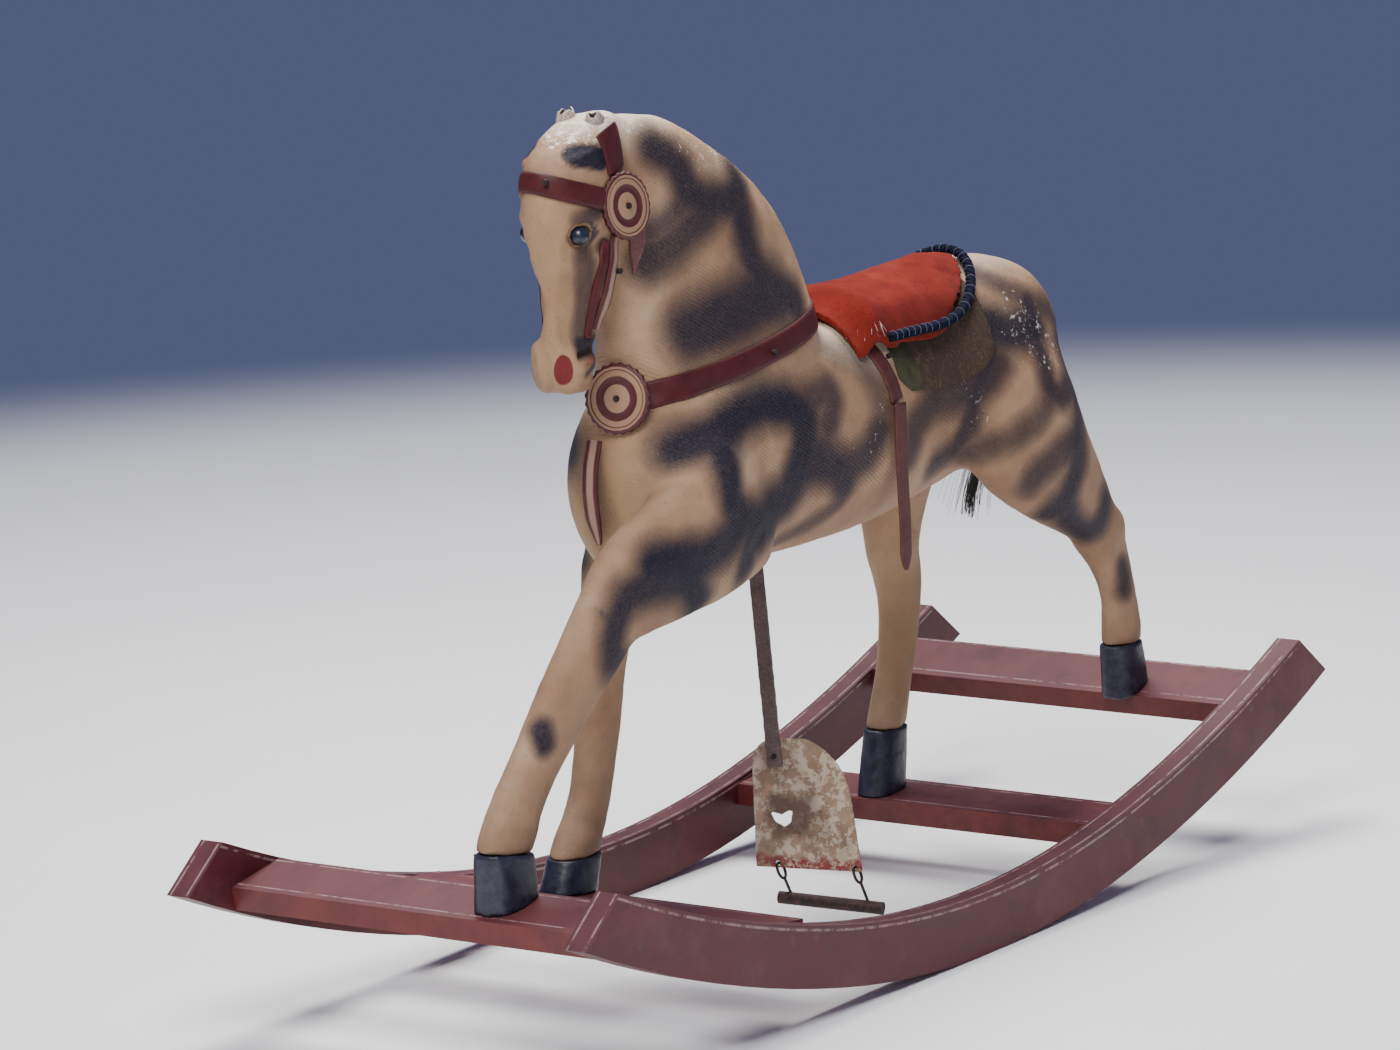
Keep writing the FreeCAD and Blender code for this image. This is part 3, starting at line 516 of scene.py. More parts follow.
def plate_paint():
    """Grey-white paint flaking off a tan board, with a worn red band along the bottom."""
    shade = Shade("plate_paint", 0.7)
    x, y, z = shade.split(shade.place)
    board = shade.ramp(shade.noise(45, 6, 0.7), (0.3, (0.20, 0.12, 0.075)), (0.7, (0.40, 0.27, 0.17)))
    flake = shade.step(shade.noise(75, 8, 0.75), 0.50, 0.53)
    colour = shade.mix(shade.math("MULTIPLY", flake, 0.75), board, (0.60, 0.50, 0.38))
    low = shade.math("SUBTRACT", 1, shade.step(shade.math("ADD", z, shade.math(
        "MULTIPLY", shade.noise(70, 5), 0.012)), 0.074, 0.078))
    worn = shade.step(shade.noise(170, 7, 0.8), 0.44, 0.50)
    colour = shade.mix(shade.math("MULTIPLY", low, worn), colour, (0.24, 0.03, 0.03))
    stain = shade.step(shade.noise(20, 4, 0.6), 0.48, 0.62)
    aside = shade.math("ABSOLUTE", shade.math("ADD", y, 0.036))
    rise = shade.math("ABSOLUTE", shade.math("SUBTRACT", z, 0.104))
    worn_spot = shade.math("SUBTRACT", 1, shade.step(shade.math("ADD", shade.math("MAXIMUM", aside, rise), shade.math(
        "MULTIPLY", shade.noise(90, 5), 0.02)), 0.022, 0.036))
    stain = shade.math("MAXIMUM", shade.math("MULTIPLY", stain, 0.4), shade.math("MULTIPLY", worn_spot, 0.85))
    colour = shade.mix(stain, colour, (0.085, 0.050, 0.034))
    shade.colour(colour)
    shade.bump((flake, 0.5, 0.0006), (worn, 0.3, 0.0005))
    return shade.material


def hoof_paint():
    shade = Shade("hoof_paint", 0.42)
    streak = shade.noise(120, 5, 0.7)
    shade.colour(shade.ramp(streak, (0.35, (0.006, 0.007, 0.016)), (0.75, (0.035, 0.038, 0.062))))
    shade.bump((streak, 0.4, 0.0012))
    return shade.material


def eye_glass():
    shade = Shade("eye_glass", 0.3)
    x, y, z = shade.split(shade.place)
    shade.colour(shade.ramp(shade.noise(60, 3), (0.4, (0.006, 0.008, 0.016)), (0.7, (0.022, 0.030, 0.052))))
    shade.set(Specular_IOR_Level=0.35, Coat_Weight=0.3, Coat_Roughness=0.12)
    shade.bump((shade.noise(300, 3), 0.08, 0.0003))
    return shade.material


def hair():
    shade = Shade("tail_hair", 0.5)
    shade.colour(shade.ramp(shade.noise(300, 3), (0.3, (0.012, 0.009, 0.010)), (0.8, (0.05, 0.032, 0.025))))
    return shade.material


def plain_wood(name, base, light):
    shade = Shade(name, 0.6)
    grain = shade.noise(60, 6, 0.7, shade.turned((1, 6, 6)))
    shade.colour(shade.ramp(grain, (0.3, base), (0.7, light)))
    shade.bump((grain, 0.3, 0.0008))
    return shade.material


# ---------------------------------------------------------------- the horse's skin
LEGS = [f"leg_{end}_{side}" for end in ("front", "hind") for side in ("left", "right")]
SKIN_NODES = ["trunk", "neck", "head"] + [f"{leg}_{part}" for leg in LEGS for part in ("upper", "lower")]
VOXEL = 0.0034


def tree_of(names):
    """A search tree over several CAD nodes."""
    holder = joined_nodes("search", names)
    tree = BVHTree.FromPolygons([v.co for v in holder.data.vertices], [p.vertices for p in holder.data.polygons])
    bpy.data.objects.remove(holder)
    return tree


def near_tree(tree, points, reach):
    """Distance in metres from each point to a tree's surface, at most reach."""
    found = [tree.find_nearest(Vector(p), reach)[3] for p in points]
    return np.array([reach if d is None else d for d in found])


# soft dark bands of the left side, in millimetres in the horse's frame, mirrored on the right:
# half width, softness, strength, then the points
BANDS = [
    (9, 17, 1.0, [(-215, -45, 435), (-180, -62, 440), (-142, -62, 452), (-110, -62, 456), (-78, -62, 450), (-62, -64, 438)]),
    (9, 17, 1.0, [(-182, -66, 438), (-188, -74, 415), (-192, -78, 392), (-176, -78, 376), (-145, -74, 370),
                  (-92, -62, 376), (-75, -64, 396), (-64, -64, 418), (-64, -64, 438)]),
    (5, 18, 0.55, [(-142, -60, 452), (-138, -55, 466), (-126, -52, 482)]),
    (6, 14, 0.85, [(-64, -64, 438), (-44, -61, 450), (-22, -60, 456), (-20, -62, 444), (-30, -64, 428)]),
    (6, 16, 0.9, [(-64, -64, 412), (-40, -65, 404), (-24, -65, 390), (-4, -65, 386), (24, -65, 394), (40, -65, 408)]),
    (3, 17, 0.62, [(40, -65, 408), (46, -64, 426), (45, -60, 446), (38, -55, 462), (24, -50, 475), (4, -46, 481)]),
    (8, 15, 0.95, [(-62, -65, 396), (-26, -65, 390), (-8, -60, 375)]),
    (3, 10, 0.75, [(-8, -60, 375), (-8, -56, 361), (-26, -54, 350), (-52, -50, 345), (-90, -40, 336)]),
    (8, 15, 1.0, [(-75, -65, 396), (-96, -62, 372), (-135, -74, 360), (-164, -80, 354), (-172, -72, 338)]),
    (9, 17, 1.0, [(-178, -78, 376), (-208, -84, 362), (-240, -84, 354), (-275, -80, 360), (-294, -79, 360)]),
    (9, 16, 1.0, [(-250, -84, 356), (-254, -84, 340), (-236, -78, 322)]),
    (7, 15, 0.95, [(-266, -82, 342), (-298, -80, 346), (-326, -76, 340), (-342, -75, 324), (-346, -75, 312),
                   (-348, -74, 298), (-330, -70, 288)]),
    (4, 16, 0.5, [(-238, 34, 448), (-242, 30, 425), (-240, 20, 405), (-240, 8, 382)]),
    (7, 16, 0.95, [(-196, -26, 668), (-182, -30, 660), (-170, -32, 648), (-164, -34, 630), (-145, -36, 620),
                   (-112, -36, 616), (-92, -34, 624), (-84, -30, 645)]),
    (4, 13, 0.8, [(-166, -33, 630), (-176, -34, 618), (-190, -32, 610), (-206, -28, 604)]),
    (7, 16, 0.9, [(-140, -38, 612), (-164, -38, 600), (-182, -36, 590), (-200, -32, 584), (-212, -28, 578)]),
    (8, 18, 0.95, [(-96, -36, 618), (-96, -38, 604), (-97, -42, 586), (-96, -44, 570), (-90, -46, 554),
                   (-68, -46, 540), (-40, -46, 526)]),
    (13, 24, 0.95, [(-72, -48, 536), (-116, -52, 532), (-150, -50, 528), (-180, -44, 522)]),
    (4, 12, 0.75, [(236, -22, 512), (242, -38, 503), (260, -50, 494), (285, -55, 481), (320, -50, 468),
                   (342, -44, 440)]),
    (10, 17, 0.95, [(216, -60, 470), (240, -64, 462), (280, -60, 456)]),
    (5, 13, 0.9, [(284, -55, 480), (280, -60, 456), (275, -70, 430), (272, -78, 410), (285, -80, 400), (305, -75, 404)]),
    (5, 13, 0.9, [(214, -61, 466), (210, -64, 446), (196, -65, 430), (182, -65, 414), (174, -61, 390),
                  (160, -56, 372), (136, -54, 366)]),
    (3, 12, 0.75, [(178, -56, 366), (192, -70, 370), (216, -80, 376), (246, -85, 386), (270, -80, 402)]),
    (6, 14, 0.85, [(88, -65, 380), (94, -65, 404), (116, -65, 419), (155, -65, 421), (196, -65, 421), (222, -65, 436)]),
    (9, 16, 0.9, [(326, -55, 430), (325, -66, 405), (318, -76, 385), (308, -82, 366), (300, -84, 345)]),
    (5, 13, 0.85, [(300, -84, 362), (272, -88, 354), (252, -86, 345), (236, -82, 336)]),
    (7, 14, 0.95, [(302, -84, 350), (294, -86, 330), (286, -85, 312), (270, -80, 304)]),
    (6, 13, 0.95, [(286, -84, 308), (300, -80, 290), (326, -76, 276), (344, -79, 281), (352, -78, 298)]),
    (3, 9, 0.9, [(384, -76, 238), (388, -76, 216)]),
    (5, 8, 0.95, [(-425, -63, 259), (-424, -66, 247)]),
]


SPRAY = 1.8


JOINT_KNOBS = [
    ((-357, -70, 334), 3.5, 26), ((-338, -56, 300), 2.5, 22), ((-446, -64, 186), 3.0, 20),
    ((-205, 38, 262), 3.0, 24), ((-240, 36, 122), 3.0, 18),
    ((384, -80, 276), 3.5, 24), ((352, -80, 262), -2.5, 20), ((400, -78, 180), 3.0, 18),
    ((236, 46, 268), 3.0, 24), ((214, 46, 130), 3.0, 18),
]


def sculpt(points):
    """Carved shapes of the head, chest and legs, in millimetres along the surface's normal."""
    push = np.zeros(len(points))
    mirrored = points.copy()
    mirrored[:, 1] = -np.abs(points[:, 1])
    # eye sockets, brows, cheeks and the groove down the face
    push += 2.6 * soft(to_line(mirrored, [(-306, -16, 626), (-292, -27, 628), (-278, -29, 618)]), 2, 9)
    push -= 3.0 * soft(to_line(mirrored, [(-303, -20, 601), (-290, -27, 597), (-276, -28, 602)]), 3, 10)
    push -= 2.4 * soft(to_line(mirrored, [(-300, -20, 588), (-306, -14, 560), (-303, -14, 538)]), 3, 12)
    push += 2.4 * soft(to_line(mirrored, [(-262, -28, 580), (-256, -27, 560)]), 8, 24)
    # nostrils and mouth
    push += 2.6 * soft(to_line(mirrored, [(-306, -15, 520), (-304, -14, 500)]), 8, 15)
    push -= 4.5 * soft(to_line(mirrored, [(-300, -22, 566), (-302, -20, 545)]), 6, 22)
    push -= 3.0 * soft(to_line(points, [(-320, 0, 610), (-318, 0, 560)]), 4, 22)
    push += 2.5 * soft(to_line(mirrored, [(-300, -17, 666), (-276, -27, 672)]), 2, 7)
    # knees, hocks and fetlocks
    for place, rise, wide in JOINT_KNOBS:
        push += rise * soft(to_line(points, [place, place]), 2, wide)
    push -= 5.5 * soft(to_line(mirrored, [(-296, -21, 520), (-280, -21, 521), (-266, -16, 524)]), 1.6, 5)
    push += 2.0 * soft(to_line(mirrored, [(-294, -20, 510), (-276, -18, 512)]), 3, 7)
    push -= 2.0 * soft(to_line(mirrored, [(-309, -13, 518), (-307, -12, 502)]), 3, 6)
    # jaw line against the neck and wrinkles of the throat
    for step in range(5):
        drop = 12 * step
        push -= 1.3 * soft(to_line(mirrored, [(-236, -22, 572 - drop), (-214, -40, 560 - drop),
                                              (-200, -46, 548 - drop)]), 1, 4)
    # shoulder, elbow and thigh muscles
    push += 3.0 * soft(to_line(mirrored, [(-200, -70, 420), (-230, -72, 385)]), 16, 46)
    push -= 2.5 * soft(to_line(mirrored, [(-150, -70, 352), (-200, -62, 338)]), 4, 16)
    push += 3.0 * soft(to_line(mirrored, [(262, -76, 420), (285, -80, 372)]), 18, 46)
    push -= 2.0 * soft(to_line(mirrored, [(196, -66, 400), (206, -72, 366)]), 6, 22)
    return push


def build_skin():
    """One carved and painted skin over the trunk, neck, head and legs."""
    skin = remeshed(joined_nodes("horse_skin", SKIN_NODES), VOXEL, 10)
    mesh = skin.data
    trunk_tree = tree_of(["trunk", "neck"])
    limb_tree = tree_of([f"{leg}_upper" for leg in LEGS] + ["head"])
    points = read_points(mesh)
    near = np.minimum(1, 1.6 * soft(near_tree(trunk_tree, points, 0.03), 0.004, 0.026)
                      * soft(near_tree(limb_tree, points, 0.03), 0.004, 0.026))
    group = skin.vertex_groups.new(name="joins")
    for index, weight in enumerate(near):
        if weight > 0.02:
            group.add([index], float(weight), "REPLACE")
    ease = skin.modifiers.new("ease", "SMOOTH")
    ease.factor = 0.6
    ease.iterations = 45
    ease.vertex_group = "joins"
    apply_modifiers(skin)
    mesh = skin.data
    points = read_points(mesh)
    normals = read_points(mesh, "normal")
    horse = points / MM
    horse[:, 1] -= PLANE_Y
    push = sculpt(horse)
    push += 0.5 * wobble(horse, 34.0) + 0.35 * wobble(horse, 11.0, 5.0)
    points = points + normals * push[:, None] * MM
    write_points(mesh, points)
    paint_skin(mesh, horse)
    cover(skin, horse_paint())
    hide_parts(*SKIN_NODES)
    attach(skin, "horse")
    return skin


def paint_skin(mesh, horse):
    """Vertex paint: dapples, a pale crest and back that are painted highlight, warm face and chest, comb marks, chips,
    dark cracks, painted shade and shadow, and red.
    """
    x, y, z = horse.T
    warped = horse + np.stack([wobble(horse, 30.0, s) * 3 for s in (1.0, 4.0, 9.0)], axis=1)
    left = warped.copy()
    right = warped * np.array([1, -1, 1]) + np.array([9, 0, 5])
    dark = np.zeros(len(horse))
    for half, softness, strength, line in BANDS:
        reach = np.minimum(to_line(left, line), np.where(y > 6, to_line(right, line), 1e9))
        veil = strength * soft(reach, half * 0.75, half * 0.75 + softness * SPRAY)
        dark = np.maximum(dark, veil) + 0.35 * np.minimum(dark, veil) * (1 - np.maximum(dark, veil))
    mirrored = horse.copy()
    mirrored[:, 1] = -np.abs(y)
    # shading painted on the face: below the eye, the cheek and the muzzle's back
    for half, softness, strength, line in (
        (5, 16, 0.75, [(-290, -26, 596), (-286, -24, 560), (-290, -20, 532)]),
        (4, 13, 0.85, [(-260, -26, 642), (-280, -28, 630), (-296, -20, 626)]),
        (6, 15, 0.95, [(-292, -22, 527), (-278, -24, 526), (-262, -20, 522)]),
        (5, 15, 0.8, [(-268, -26, 600), (-262, -26, 570), (-262, -24, 545)]),
        (2, 6, 0.9, [(-303, -22, 612), (-298, -27, 605), (-288, -29, 605), (-283, -29, 612), (-288, -29, 619)]),
    ):
        dark = np.maximum(dark, strength * soft(to_line(mirrored, line), half, softness))
    patch = soft(to_line(mirrored, [(-294, -22, 674), (-268, -27, 668)]), 8, 12) * (z < 684)
    dark = np.maximum(dark, patch)
    write_attribute(mesh, "dark", dark)
    # painted highlight along the crest and the top of the back; the strip beside the saddle's front is paler paint
    pale = np.maximum(soft(to_line(horse, [(-250, 0, 705), (-190, 0, 702)]), 20, 52),
                      soft(to_line(horse, [(15, -42, 500), (58, -52, 480)]), 10, 42))
    pale = np.maximum(pale, 0.5 * soft(to_line(horse, [(150, 0, 525), (330, 0, 500)]), 14, 50))
    write_attribute(mesh, "pale", 0.8 * pale)
    warm = np.maximum(0.55 * soft(to_line(horse, [(-240, 10, 470), (-230, 10, 380), (-190, 50, 300)]), 14, 46),
                      0.35 * soft(to_line(horse, [(-310, 0, 640), (-306, 0, 520)]), 8, 26))
    warm = np.maximum(warm, 0.45 * soft(to_line(horse, [(228, 60, 330), (238, 60, 130)]), 16, 34) * (y > 30))
    write_attribute(mesh, "warm", warm)
    comb = 0.7 * np.clip((z - 300) / 60, 0, 1) * np.clip((x + 250) / 30, 0, 1) * np.where(x > 60, 0.55, 1.0)
    write_attribute(mesh, "comb", comb)
    chip = np.maximum(1.3 * soft(to_line(horse, [(-280, -4, 690), (-215, -10, 700)]), 12, 34),
                      soft(to_line(horse, [(-160, -30, 668), (-70, -30, 650)]), 8, 30) * 0.75)
    chip = np.maximum(chip, 0.8 * soft(to_line(horse, [(260, -60, 470), (285, -62, 440)]), 14, 44))
    chip = np.maximum(chip, 0.6 * soft(to_line(horse, [(170, -62, 420), (190, -64, 400)]), 8, 26))
    chip = np.maximum(chip, 0.6 * soft(to_line(horse, [(40, -62, 425), (30, -64, 395)]), 6, 20))
    write_attribute(mesh, "chip", chip)
    # painted shade in the mouth's carved slot
    grime_and_shade = 0.9 * soft(to_line(mirrored, [(-291, -21, 505), (-272, -18, 517)]), 1.5, 5)
    for crack in ([(-290, -18, 684), (-264, -20, 694), (-238, -18, 700)], [(-289, 5, 690), (-258, 1, 702)]):
        grime_and_shade = np.maximum(grime_and_shade, 0.8 * soft(to_line(horse, crack), 0.8, 3.6))
    knee = to_line(horse, [(-352, -56, 345), (-357, -72, 334), (-340, -80, 326)])
    grime_and_shade = np.maximum(grime_and_shade, 0.75 * soft(knee, 0.6, 2.6))
    # painted shadow of the chest tongue's tip on the chest
    grime_and_shade = np.maximum(grime_and_shade, 0.9 * soft(to_line(horse, [(-238, -14, 352), (-238, -8, 352)]), 2.5, 5))
    # painted shade darkening the lower legs towards the hooves
    shade_low = 0.28 * soft(z, 128, 260) * (z < 300)
    grime_and_shade = np.maximum(grime_and_shade, shade_low * (0.6 + 0.8 * np.abs(wobble(horse, 18.0, 3.0))))
    write_attribute(mesh, "grime_and_shade", grime_and_shade)
    lip = soft(to_line(mirrored, [(-292, -20, 512), (-272, -18, 517)]), 1.2, 3.2)
    write_attribute(mesh, "red", 0.8 * lip)


SKIN = build_skin()
SKIN_TREE = BVHTree.FromPolygons([v.co for v in SKIN.data.vertices], [p.vertices for p in SKIN.data.polygons])


# ---------------------------------------------------------------- straps that lie on the skin
def laid_strip(name, line, wide, thick, material, body="horse", steps=40, ends=1.0, lift=0.0,
                narrowing=0.0):
    """A flat strap along points near the skin, in the horse's frame in millimetres."""
    route = [from_horse(*p) for p in line]
    lengths = [0.0]
    for a, b in zip(route, route[1:]):
        lengths.append(lengths[-1] + (b - a).length)
    rows = []
    for step in range(steps + 1):
        travel = lengths[-1] * step / steps
        index = max(i for i in range(len(route) - 1) if lengths[i] <= travel + 1e-9)
        part = (travel - lengths[index]) / max(lengths[index + 1] - lengths[index], 1e-9)
        rows.append(route[index].lerp(route[index + 1], min(part, 1)))
    for _ in range(6):
        rows = [rows[0]] + [(a + b * 2 + c) / 4 for a, b, c in zip(rows, rows[1:], rows[2:])] + [rows[-1]]
    vertices, sides = [], []
    columns = 7
    for index, middle in enumerate(rows):
        ahead = rows[min(index + 1, steps)] - rows[max(index - 1, 0)]
        spot, out, _, _ = SKIN_TREE.find_nearest(middle)
        across = ahead.cross(out).normalized()
        taper = (1.0 if 0 < index < steps else ends) * (1 - narrowing * index / steps)
        for column in range(columns):
            side = 2 * column / (columns - 1) - 1
            target = middle + across * side * wide * MM / 2 * taper
            near, normal, _, _ = SKIN_TREE.find_nearest(target)
            flat = out.lerp(normal, 0.6).normalized()
            height = (thick * (1 - 0.35 * side ** 4) + lift) * MM
            vertices.append(near + flat * height)
            sides.append(side)
    for index in range(len(rows)):
        base = index * columns
        for column in range(columns):
            outer = vertices[base + column]
            near, normal, _, _ = SKIN_TREE.find_nearest(outer)
            vertices.append(near + (outer - near).normalized() * lift * MM - normal * (0.0 if lift else 0.4 * MM))
            sides.append(sides[base + column])
    count = len(rows) * columns
    faces = []
    for index in range(len(rows) - 1):
        for column in range(columns - 1):
            a = index * columns + column
            b, c, d = a + 1, a + columns + 1, a + columns
            faces.append((a, b, c, d))
            faces.append((count + d, count + c, count + b, count + a))
        first, last = index * columns, index * columns + columns - 1
        faces.append((first, first + columns, count + first + columns, count + first))
        faces.append((last + columns, last, count + last, count + last + columns))
    for column in range(columns - 1):
        a, b = column, column + 1
        faces.append((b, a, count + a, count + b))
        c, d = count - columns + column, count - columns + column + 1
        faces.append((c, d, count + d, count + c))
    strip = new_object(name, vertices, faces)
    write_attribute(strip.data, "side", sides)
    bevel_normals(strip)
    cover(strip, material)
    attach(strip, body)
    return strip


def bevel_normals(obj):
    """Makes all faces point outward."""
    shape = bmesh.new()
    shape.from_mesh(obj.data)
    bmesh.ops.recalc_face_normals(shape, faces=shape.faces)
    shape.to_mesh(obj.data)
    shape.free()


RED_LEATHER = leather("red_leather", (0.045, 0.004, 0.006), (0.090, 0.010, 0.012))
PINK_LEATHER = leather("pink_leather", (0.13, 0.042, 0.045), (0.24, 0.10, 0.095))
STRIPED = leather("striped_leather", (0.060, 0.010, 0.011), (0.11, 0.025, 0.024), ((0.0, 0.45), (0.33, 0.20, 0.14)))
BROWN_LEATHER = leather("brown_leather", (0.070, 0.018, 0.018), (0.13, 0.042, 0.038))


def build_bridle():
    band_line = [(-258, -32, 634), (-280, -30, 640), (-300, -24, 646), (-314, -12, 652), (-319, 0, 656),
                 (-314, 12, 654), (-300, 24, 649), (-280, 30, 642), (-258, 32, 636)]
    browband = laid_strip("browband_strap", band_line, 17, 2.4, RED_LEATHER)
    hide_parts("browband")
    for side, word in ((LEFT, "left"), (RIGHT, "right")):
        inner = laid_strip(f"cheek_strap_{word}_dark", [(-268, side * 30, 605), (-278, side * 24, 570), (-286, side * 22, 532)],
                           8, 2.2, RED_LEATHER)
        laid_strip(f"cheek_strap_{word}_striped",
                           [(-254, side * 31, 608), (-261, side * 29, 580), (-273, side * 23, 536)],
                           15, 2.4, STRIPED)
        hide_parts(f"cheek_strap_{word}")
    throat = laid_strip("throat_strap_end", [(-226, -34, 622), (-224, -34, 600), (-232, -30, 572)], 26, 1.8,
                        PINK_LEATHER, narrowing=0.9)
    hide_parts("throat_strap")
    crown = laid_strip("crownpiece_end", [(-254, -24, 690), (-249, -29, 674), (-246, -32, 656)], 30, 2.0,
                       RED_LEATHER, ends=0.8)
    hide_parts("crownpiece")


def rosette(name, node, radius, material):
    """A round leather badge with a scalloped rim and raised rings, standing on its CAD disc."""
    nail_low, nail_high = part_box(f"{node}_nail")
    tip = (Vector(nail_low) + Vector(nail_high)) / 2
    face = ROSETTE_FACES[node]
    out = Vector(face).normalized()
    centre = tip - out * 1.2 * MM
    side = out.cross(Vector((0, 0, 1))).normalized()
    up = side.cross(out).normalized()
    rings = [0.0, 0.06, 0.12, 0.16, 0.36, 0.40, 0.58, 0.62, 0.76, 0.79, 0.83, 0.92, 0.96, 1.0]
    heights = [0.3, 0.3, 0.2, 0.0, 0.2, -0.5, -0.5, 0.1, 0.1, -0.4, 0.1, 0.1, -0.2, -0.9]
    turns = 96
    vertices, values = [], []
    for layer in (0, 1):
        for part, height in zip(rings, heights):
            for turn in range(turns):
                angle = 2 * math.pi * turn / turns
                scallop = 1 + 0.028 * math.sin(24 * angle) * max(0, (part - 0.9) * 10)
                reach = radius * part * scallop * MM
                level = height * MM if layer == 0 else -3.6 * MM
                vertices.append(centre + side * math.cos(angle) * reach + up * math.sin(angle) * reach + out * level)
                values.append(part)
    faces = []
    count = len(rings) * turns
    for ring in range(len(rings) - 1):
        for turn in range(turns):
            a = ring * turns + turn
            b = ring * turns + (turn + 1) % turns
            faces.append((a, b, b + turns, a + turns))
            faces.append((count + a + turns, count + b + turns, count + b, count + a))
    for turn in range(turns):
        a = (len(rings) - 1) * turns + turn
        b = (len(rings) - 1) * turns + (turn + 1) % turns
        faces.append((a, b, count + b, count + a))
    badge = new_object(name, vertices, faces)
    write_attribute(badge.data, "ring", values)
    shape = bmesh.new()
    shape.from_mesh(badge.data)
    bmesh.ops.remove_doubles(shape, verts=shape.verts, dist=0.00002)
    bmesh.ops.recalc_face_normals(shape, faces=shape.faces)
    shape.to_mesh(badge.data)
    shape.free()
    cover(badge, material)
    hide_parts(node)
    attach(badge, "horse")
    return badge


ROSETTE_FACES = {
    "bridle_rosette_left": (-0.10, -1, 0.12),
    "bridle_rosette_right": (-0.10, 1, 0.12),
    "breast_rosette": (-1, -0.18, 0.16),
}


def build_rosettes():
    paint = rosette_leather()
    rosette("bridle_badge_left", "bridle_rosette_left", 26, paint)
    rosette("bridle_badge_right", "bridle_rosette_right", 26, paint)
    rosette("breast_badge", "breast_rosette", 27.5, paint)


def build_collar():
    """The breast collar: a broad strap round the base of the neck."""
    line = []
    for step in range(-20, 21):
        turn = math.pi * step / 20.001
        x = -107 + 128 * math.cos(turn)
        y = 58 * math.sin(turn)
        line.append((x, y, 494 + (x + 102) * 0.14))
    collar = laid_strip("breast_collar_strap", line, 20, 2.4, RED_LEATHER, steps=120)
    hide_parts("breast_collar")


def build_girth_strap():
    upper = laid_strip("near_strap_top", [(49, -45, 489), (58, -57, 468), (66, -65, 445), (69, -68, 430)],
                       16, 2.4, BROWN_LEATHER)
    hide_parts("near_strap_upper")


build_bridle()
build_rosettes()
build_collar()
build_girth_strap()


# ---------------------------------------------------------------- saddle, cloth and rope
def ground_height(x, y):
    """Height of the horse's back straight below a point, or of its flank where it falls away."""
    return SKIN_TREE.ray_cast(Vector((x, y, 0.6)), Vector((0, 0, -1)))[0].z


def build_saddle():
    """The felt saddle: a thin stuffed pad, swelled by air pressure and then creased."""
    pad = joined_nodes("saddle_pad", ["saddle"])
    remeshed(pad, 0.0036, 3)
    start = read_points(pad.data)
    shrink = read_points(pad.data, "normal")
    write_points(pad.data, start - shrink * 1.2 * MM)
    swell = pad.modifiers.new("swell", "CLOTH")
    swell.settings.use_pressure = True
    swell.settings.uniform_pressure_force = 4
    swell.settings.effector_weights.gravity = 0
    swell.settings.quality = 5
    scene = bpy.context.scene
    for step in range(1, 21):
        scene.frame_set(step)
    apply_modifiers(pad)
    scene.frame_set(1)
    swollen = read_points(pad.data)
    moved = swollen - start
    size = np.linalg.norm(moved, axis=1, keepdims=True)
    write_points(pad.data, start + moved * np.minimum(1, 2.5 * MM / np.maximum(size, 1e-9)))
    points = read_points(pad.data)
    normals = read_points(pad.data, "normal")
    horse = points / MM
    horse[:, 1] -= PLANE_Y
    mirrored = horse.copy()
    mirrored[:, 1] = -np.abs(horse[:, 1])
    crease = 0.9 * soft(to_line(mirrored, [(118, 0, 520), (112, -28, 515), (98, -58, 490)]), 0.8, 5)
    crease = np.maximum(crease, 0.6 * soft(to_line(mirrored, [(62, -10, 520), (58, -36, 508)]), 0.6, 4))
    crease = np.maximum(crease, 0.8 * soft(to_line(mirrored, [(205, 0, 528), (200, -36, 515), (186, -52, 500)]), 0.6, 4))
    push = -1.6 * crease + 0.7 * wobble(horse, 17.0, 2.0) + 0.4 * wobble(horse, 6.0, 8.0)
    top = normals[:, 2] > -0.2
    points = points + normals * (push * top)[:, None] * MM
    front = soft(horse[:, 0], 30, 66)
    flank = soft(64 - np.abs(horse[:, 1]), 0, 18)
    share = 1 - 0.68 * np.maximum(front, 0.55 * flank)
    ground = np.array([ground_height(x, y) for x, y in points[:, :2]])
    points[:, 2] = np.where(points[:, 2] > ground, ground + (points[:, 2] - ground) * share, points[:, 2])
    write_points(pad.data, points)
    # the crease lines also colour the felt darker, as painted shade
    write_attribute(pad.data, "crease", crease)
    cover(pad, felt())
    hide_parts("saddle")
    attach(pad, "horse")
    tree = BVHTree.FromPolygons([v.co for v in pad.data.vertices], [f.vertices for f in pad.data.polygons])
    fringe(tree)
    rope_round(tree)


def tube(vertices, faces, route, radius, sides=6, taper=0.0):
    """Adds a round tube along points in metres to lists of vertices and faces."""
    base = len(vertices)
    side = Vector((0.31, 0.52, 0.8))
    for index, middle in enumerate(route):
        ahead = (route[min(index + 1, len(route) - 1)] - route[max(index - 1, 0)]).normalized()
        side = (side - ahead * side.dot(ahead)).normalized()
        other = ahead.cross(side)
        reach = radius * (1 - taper * index / (len(route) - 1))
        for turn in range(sides):
            angle = 2 * math.pi * turn / sides
            vertices.append(middle + (side * math.cos(angle) + other * math.sin(angle)) * reach)
    for index in range(len(route) - 1):
        for turn in range(sides):
            a = base + index * sides + turn
            b = base + index * sides + (turn + 1) % sides
            faces.append((a, b, b + sides, a + sides))
    last = base + (len(route) - 1) * sides
    faces.append(tuple(range(base + sides - 1, base - 1, -1)))
    faces.append(tuple(range(last, last + sides)))


